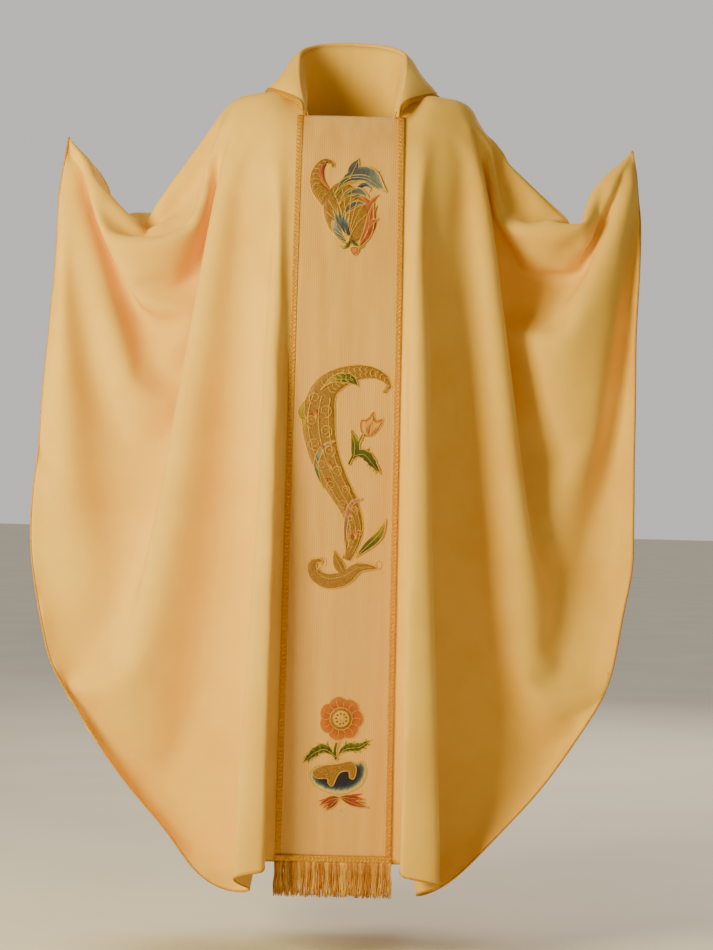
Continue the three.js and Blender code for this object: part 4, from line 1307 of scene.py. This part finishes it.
def posy_lines():
    """Petal edges, the heart's stitches, and spines of the leaves."""
    cords, knots = [], []
    for k in range(14):
        turn = 2 * math.pi * k / 14
        edge = [(4 + reach * math.cos(turn + bend), 56 + reach * math.sin(turn + bend))
                for reach, bend in ((19, 0), (25, 0.08), (31, 0))]
        cords.append(vein("posy", edge, LOW + 0.0014, 0.0005))
    for k in range(9):
        turn = 2 * math.pi * k / 9 + 0.3
        knots.append(dot("posy", 4 + 8.2 * math.cos(turn), 56 + 8.2 * math.sin(turn), 1.7,
                         TOP + 0.0008, 0.0014))
    cords.append(vein("posy", spiral((4, 56), 5.5, 0.6, 2.4), TOP + 0.0011, 0.0006))
    cords += veins("posy", (*FLOWER_LEAVES, [(4, 20), (-2, 6), (-1, -14)]), LOW + 0.0012, 0.0005)
    cords += veins("posy", (
        [(3, -70), (-12, -75), (-25, -83)], [(3, -71), (-6, -80), (-16, -90)],
        [(6, -69), (26, -71), (43, -73)], [(6, -70), (28, -79), (49, -84)]), LOW + 0.0011, 0.0004)
    return cords, knots


def crest_blades():
    """Silk over the shell: a coral lining and flames, a striped fan, lobes and streaks of the plumes."""
    over_shell, on_satin = LOW + 0.0014, LOW + 0.0010
    coral = blades("crest", over_shell, (
        ([(-38, 72), (-47, 60), (-46, 42), (-33, 24)], 4.6),
        ([(24, -54), (36, -36), (38, -14), (44, 0)], 5.2),
        ([(28, -18), (33, 4), (46, 18)], 3.8),
        ([(36, -30), (30, 0), (20, 12), (8, 18)], 4.2)))
    blue = blades("crest", on_satin, (
        ([(12, 46), (22, 58), (34, 65)], 3.6),
        ([(26, 44), (38, 54), (48, 57)], 3.4)))
    blue += blades("crest", over_shell, (
        ([(8, 26), (22, 34), (32, 30), (31, 22)], 3.0),
        ([(4, 8), (16, 18), (27, 18), (29, 12)], 2.8)))
    blue += blades("crest", over_shell + 0.0006, [
        ([(3, -54), ((x + 3) / 2 - 4, (y - 54) / 2 - 2), (x, y)], 3.1)
        for x, y in ((-28, -8), (-21, -5), (-14, -7), (-7, -12), (-2, -20))])
    streaks = blades("crest", HIGH + 0.0008, (
        ([(-30, 14), (-12, 42), (18, 50), (44, 40)], 1.3),
        ([(-26, 4), (-12, 28), (10, 40), (34, 38)], 1.1),
        ([(-18, -4), (-6, 18), (12, 28), (24, 26)], 1.1),
        ([(-10, -16), (-2, 2), (12, 14), (22, 13)], 1.0)), 0.7)
    green = blades("crest", over_shell, (
        ([(3, -56), (9, -64), (18, -70), (27, -66)], 2.6),
        ([(1, -56), (-2, -66), (-9, -71), (-15, -67)], 2.6)))
    return {"coral_thread": coral, "blue_thread": blue, "streak_thread": streaks, "green_thread": green}


def scroll_blades():
    """Drops of silk on the horn, teeth of the leaves and the tulip's inner petals."""
    spine = smooth_curve(HORN_SPINE, 14)
    drops = []
    for share, offset in ((0.40, -4), (0.53, 0), (0.60, 3), (0.80, -2), (0.88, 2)):
        a, _, _ = beside(spine, share, offset)
        b, _, _ = beside(spine, share + 0.035, offset)
        drops.append(blade("scroll", [a, (a + b) / 2, b], 3.4, LOW + 0.0019))
    petals = blades("scroll", LOW + 0.0012, (
        ([(38, 64), (38, 78), (46, 90)], 3.4), ([(44, 64), (52, 76), (58, 86)], 3.0)))
    green = toothed("scroll", TULIP_LEAF, 18, 2.4, LOW + 0.0004)
    green += toothed("scroll", TULIP_STEM, 13, 2.1, LOW + 0.0004, (0.35, 0.55))
    return {"orange_thread": drops + petals, "green_thread": green}


def posy_blades():
    """Teeth of the flower's leaves and the middle lobes of the tuft."""
    green = toothed("posy", FLOWER_LEAVES[0], 18, 2.5, LOW + 0.0004)
    green += toothed("posy", FLOWER_LEAVES[1], 17, 2.4, LOW + 0.0004)
    red = [blade("posy", line, 2.6, LOW + 0.0006) for line in (
        [(4, -70), (22, -67), (42, -63)], [(5, -70), (28, -76), (48, -78)],
        [(3, -70), (-12, -72), (-29, -77)], [(3, -71), (-10, -79), (-22, -88)])]
    return {"green_thread": green, "red_thread": red}


def make_motif(motif, nodes, lines, silk, knots=(), knot_material="red_thread"):
    """The stitching of one motif, its gold cord in one piece, and its loose blades of silk."""
    pieces, cords = [], list(lines)
    for thread, parts in silk.items():
        points, faces = together([part[:2] for part in parts])
        pieces.append(add_piece(f"{motif}_{thread}_blades", points, faces, thread,
                                shade=np.concatenate([part[2] for part in parts])))
    for node, material, base, dome, width, couched, shade in nodes:
        piece, loops = stitched_relief(node, material, base, dome * MM, width * MM, couched * MM, shade)
        pieces.append(piece)
        if not node.startswith("posy_bead"):
            cords += couched_cord(loops, base + 0.0005)
    pieces.append(add_piece(f"{motif}_couched_cord", *together(cords), "gold_cord"))
    if knots:
        points, faces = together(knots)
        pieces.append(add_piece(f"{motif}_knots", points, faces, knot_material,
                                shade=np.full(len(points), 0.4)))
    return pieces


# ---- camera, light and floor ----
CAMERA_AT = (0.023, -4.138, -0.616)
VIEW_HEIGHT = 1.52
ROLL = math.radians(-1.4)


def make_stage():
    camera = placed("camera", bpy.data.cameras.new("camera"))
    scene.camera = camera
    camera.location = CAMERA_AT
    camera.rotation_euler = (math.pi / 2, ROLL, 0)
    camera.data.sensor_width = 36
    camera.data.lens = 36 * (abs(CAMERA_AT[1]) - BODY_DEPTH) / VIEW_HEIGHT
    camera.data.clip_end = 60

    for name, place, size, power, colour in (
            ("key_light", (-1.7, -1.8, 0.0), 0.9, 96, (1.0, 0.84, 0.40)),
            ("fill_light", (0.9, -3.6, 0.2), 2.2, 7, (1.0, 0.80, 0.42)),
            ("back_light", (1.4, 3.4, 1.2), 1.6, 70, (1.0, 0.86, 0.62))):
        light = bpy.data.lights.new(name, "AREA")
        light.energy, light.size, light.color = power, size, colour
        obj = placed(name, light)
        obj.location = place
        aim = Vector((0, 0, -0.62)) - Vector(place)
        obj.rotation_euler = aim.to_track_quat("-Z", "Y").to_euler()

    ceiling = placed("ceiling_light", bpy.data.lights.new("ceiling_light", "SUN"))
    ceiling.data.energy, ceiling.data.angle, ceiling.data.color = 1.3, 0.9, (1.0, 0.94, 0.84)
    ceiling.rotation_euler = (-0.2, 0, 0)

    world = bpy.data.worlds.new("studio")
    scene.world = world
    world.use_nodes = True
    nodes, links = world.node_tree.nodes, world.node_tree.links
    lit, seen = nodes["Background"], nodes.new("ShaderNodeBackground")
    for shader, colour, strength in ((lit, (1.0, 0.82, 0.52, 1), 0.11),
                                     (seen, (0.86, 0.84, 0.80, 1), 0.78)):
        shader.inputs["Color"].default_value = colour
        shader.inputs["Strength"].default_value = strength
    path, either = nodes.new("ShaderNodeLightPath"), nodes.new("ShaderNodeMixShader")
    for source, target in ((path.outputs["Is Camera Ray"], either.inputs[0]),
                           (lit.outputs[0], either.inputs[1]), (seen.outputs[0], either.inputs[2]),
                           (either.outputs[0], nodes["World Output"].inputs["Surface"])):
        links.new(source, target)

    floor = Finish("floor_paper", 0.85)
    tone = floor.ramp(floor.noise(3.0, 2.0), [(0.3, (226, 222, 214)), (0.7, (232, 229, 222))])
    side, level = 30.0, HEM_Z - 0.16
    corners = [(x * side, y * side, level) for x, y in ((-1, -1), (1, -1), (1, 1), (-1, 1))]
    ground = placed("floor", new_mesh("floor", corners, [(0, 1, 2, 3)]))
    ground.data.materials.append(floor.done(tone))


make_stage()
sheets = make_cloth()
for panel_name, panel_face, panel_top in (("front", -1, NECK_FRONT_Z), ("back", 1, BACK_PANEL_Z)):
    satin_piece, braid_pieces, satin_flat = make_panel(panel_name, panel_face, panel_top)
    fringe_pieces = make_fringe(panel_name, panel_face)
    with_satin = list(braid_pieces)
    if panel_name == "front":
        with_satin += make_motif("crest", CREST_NODES, crest_lines(), crest_blades())
        scroll_cords, scroll_knots = scroll_lines()
        with_satin += make_motif("scroll", SCROLL_NODES, scroll_cords, scroll_blades(), scroll_knots,
                                 "coral_thread")
        posy_cords, posy_knots = posy_lines()
        with_satin += make_motif("posy", POSY_NODES, posy_cords, posy_blades(), posy_knots)
make_collar()
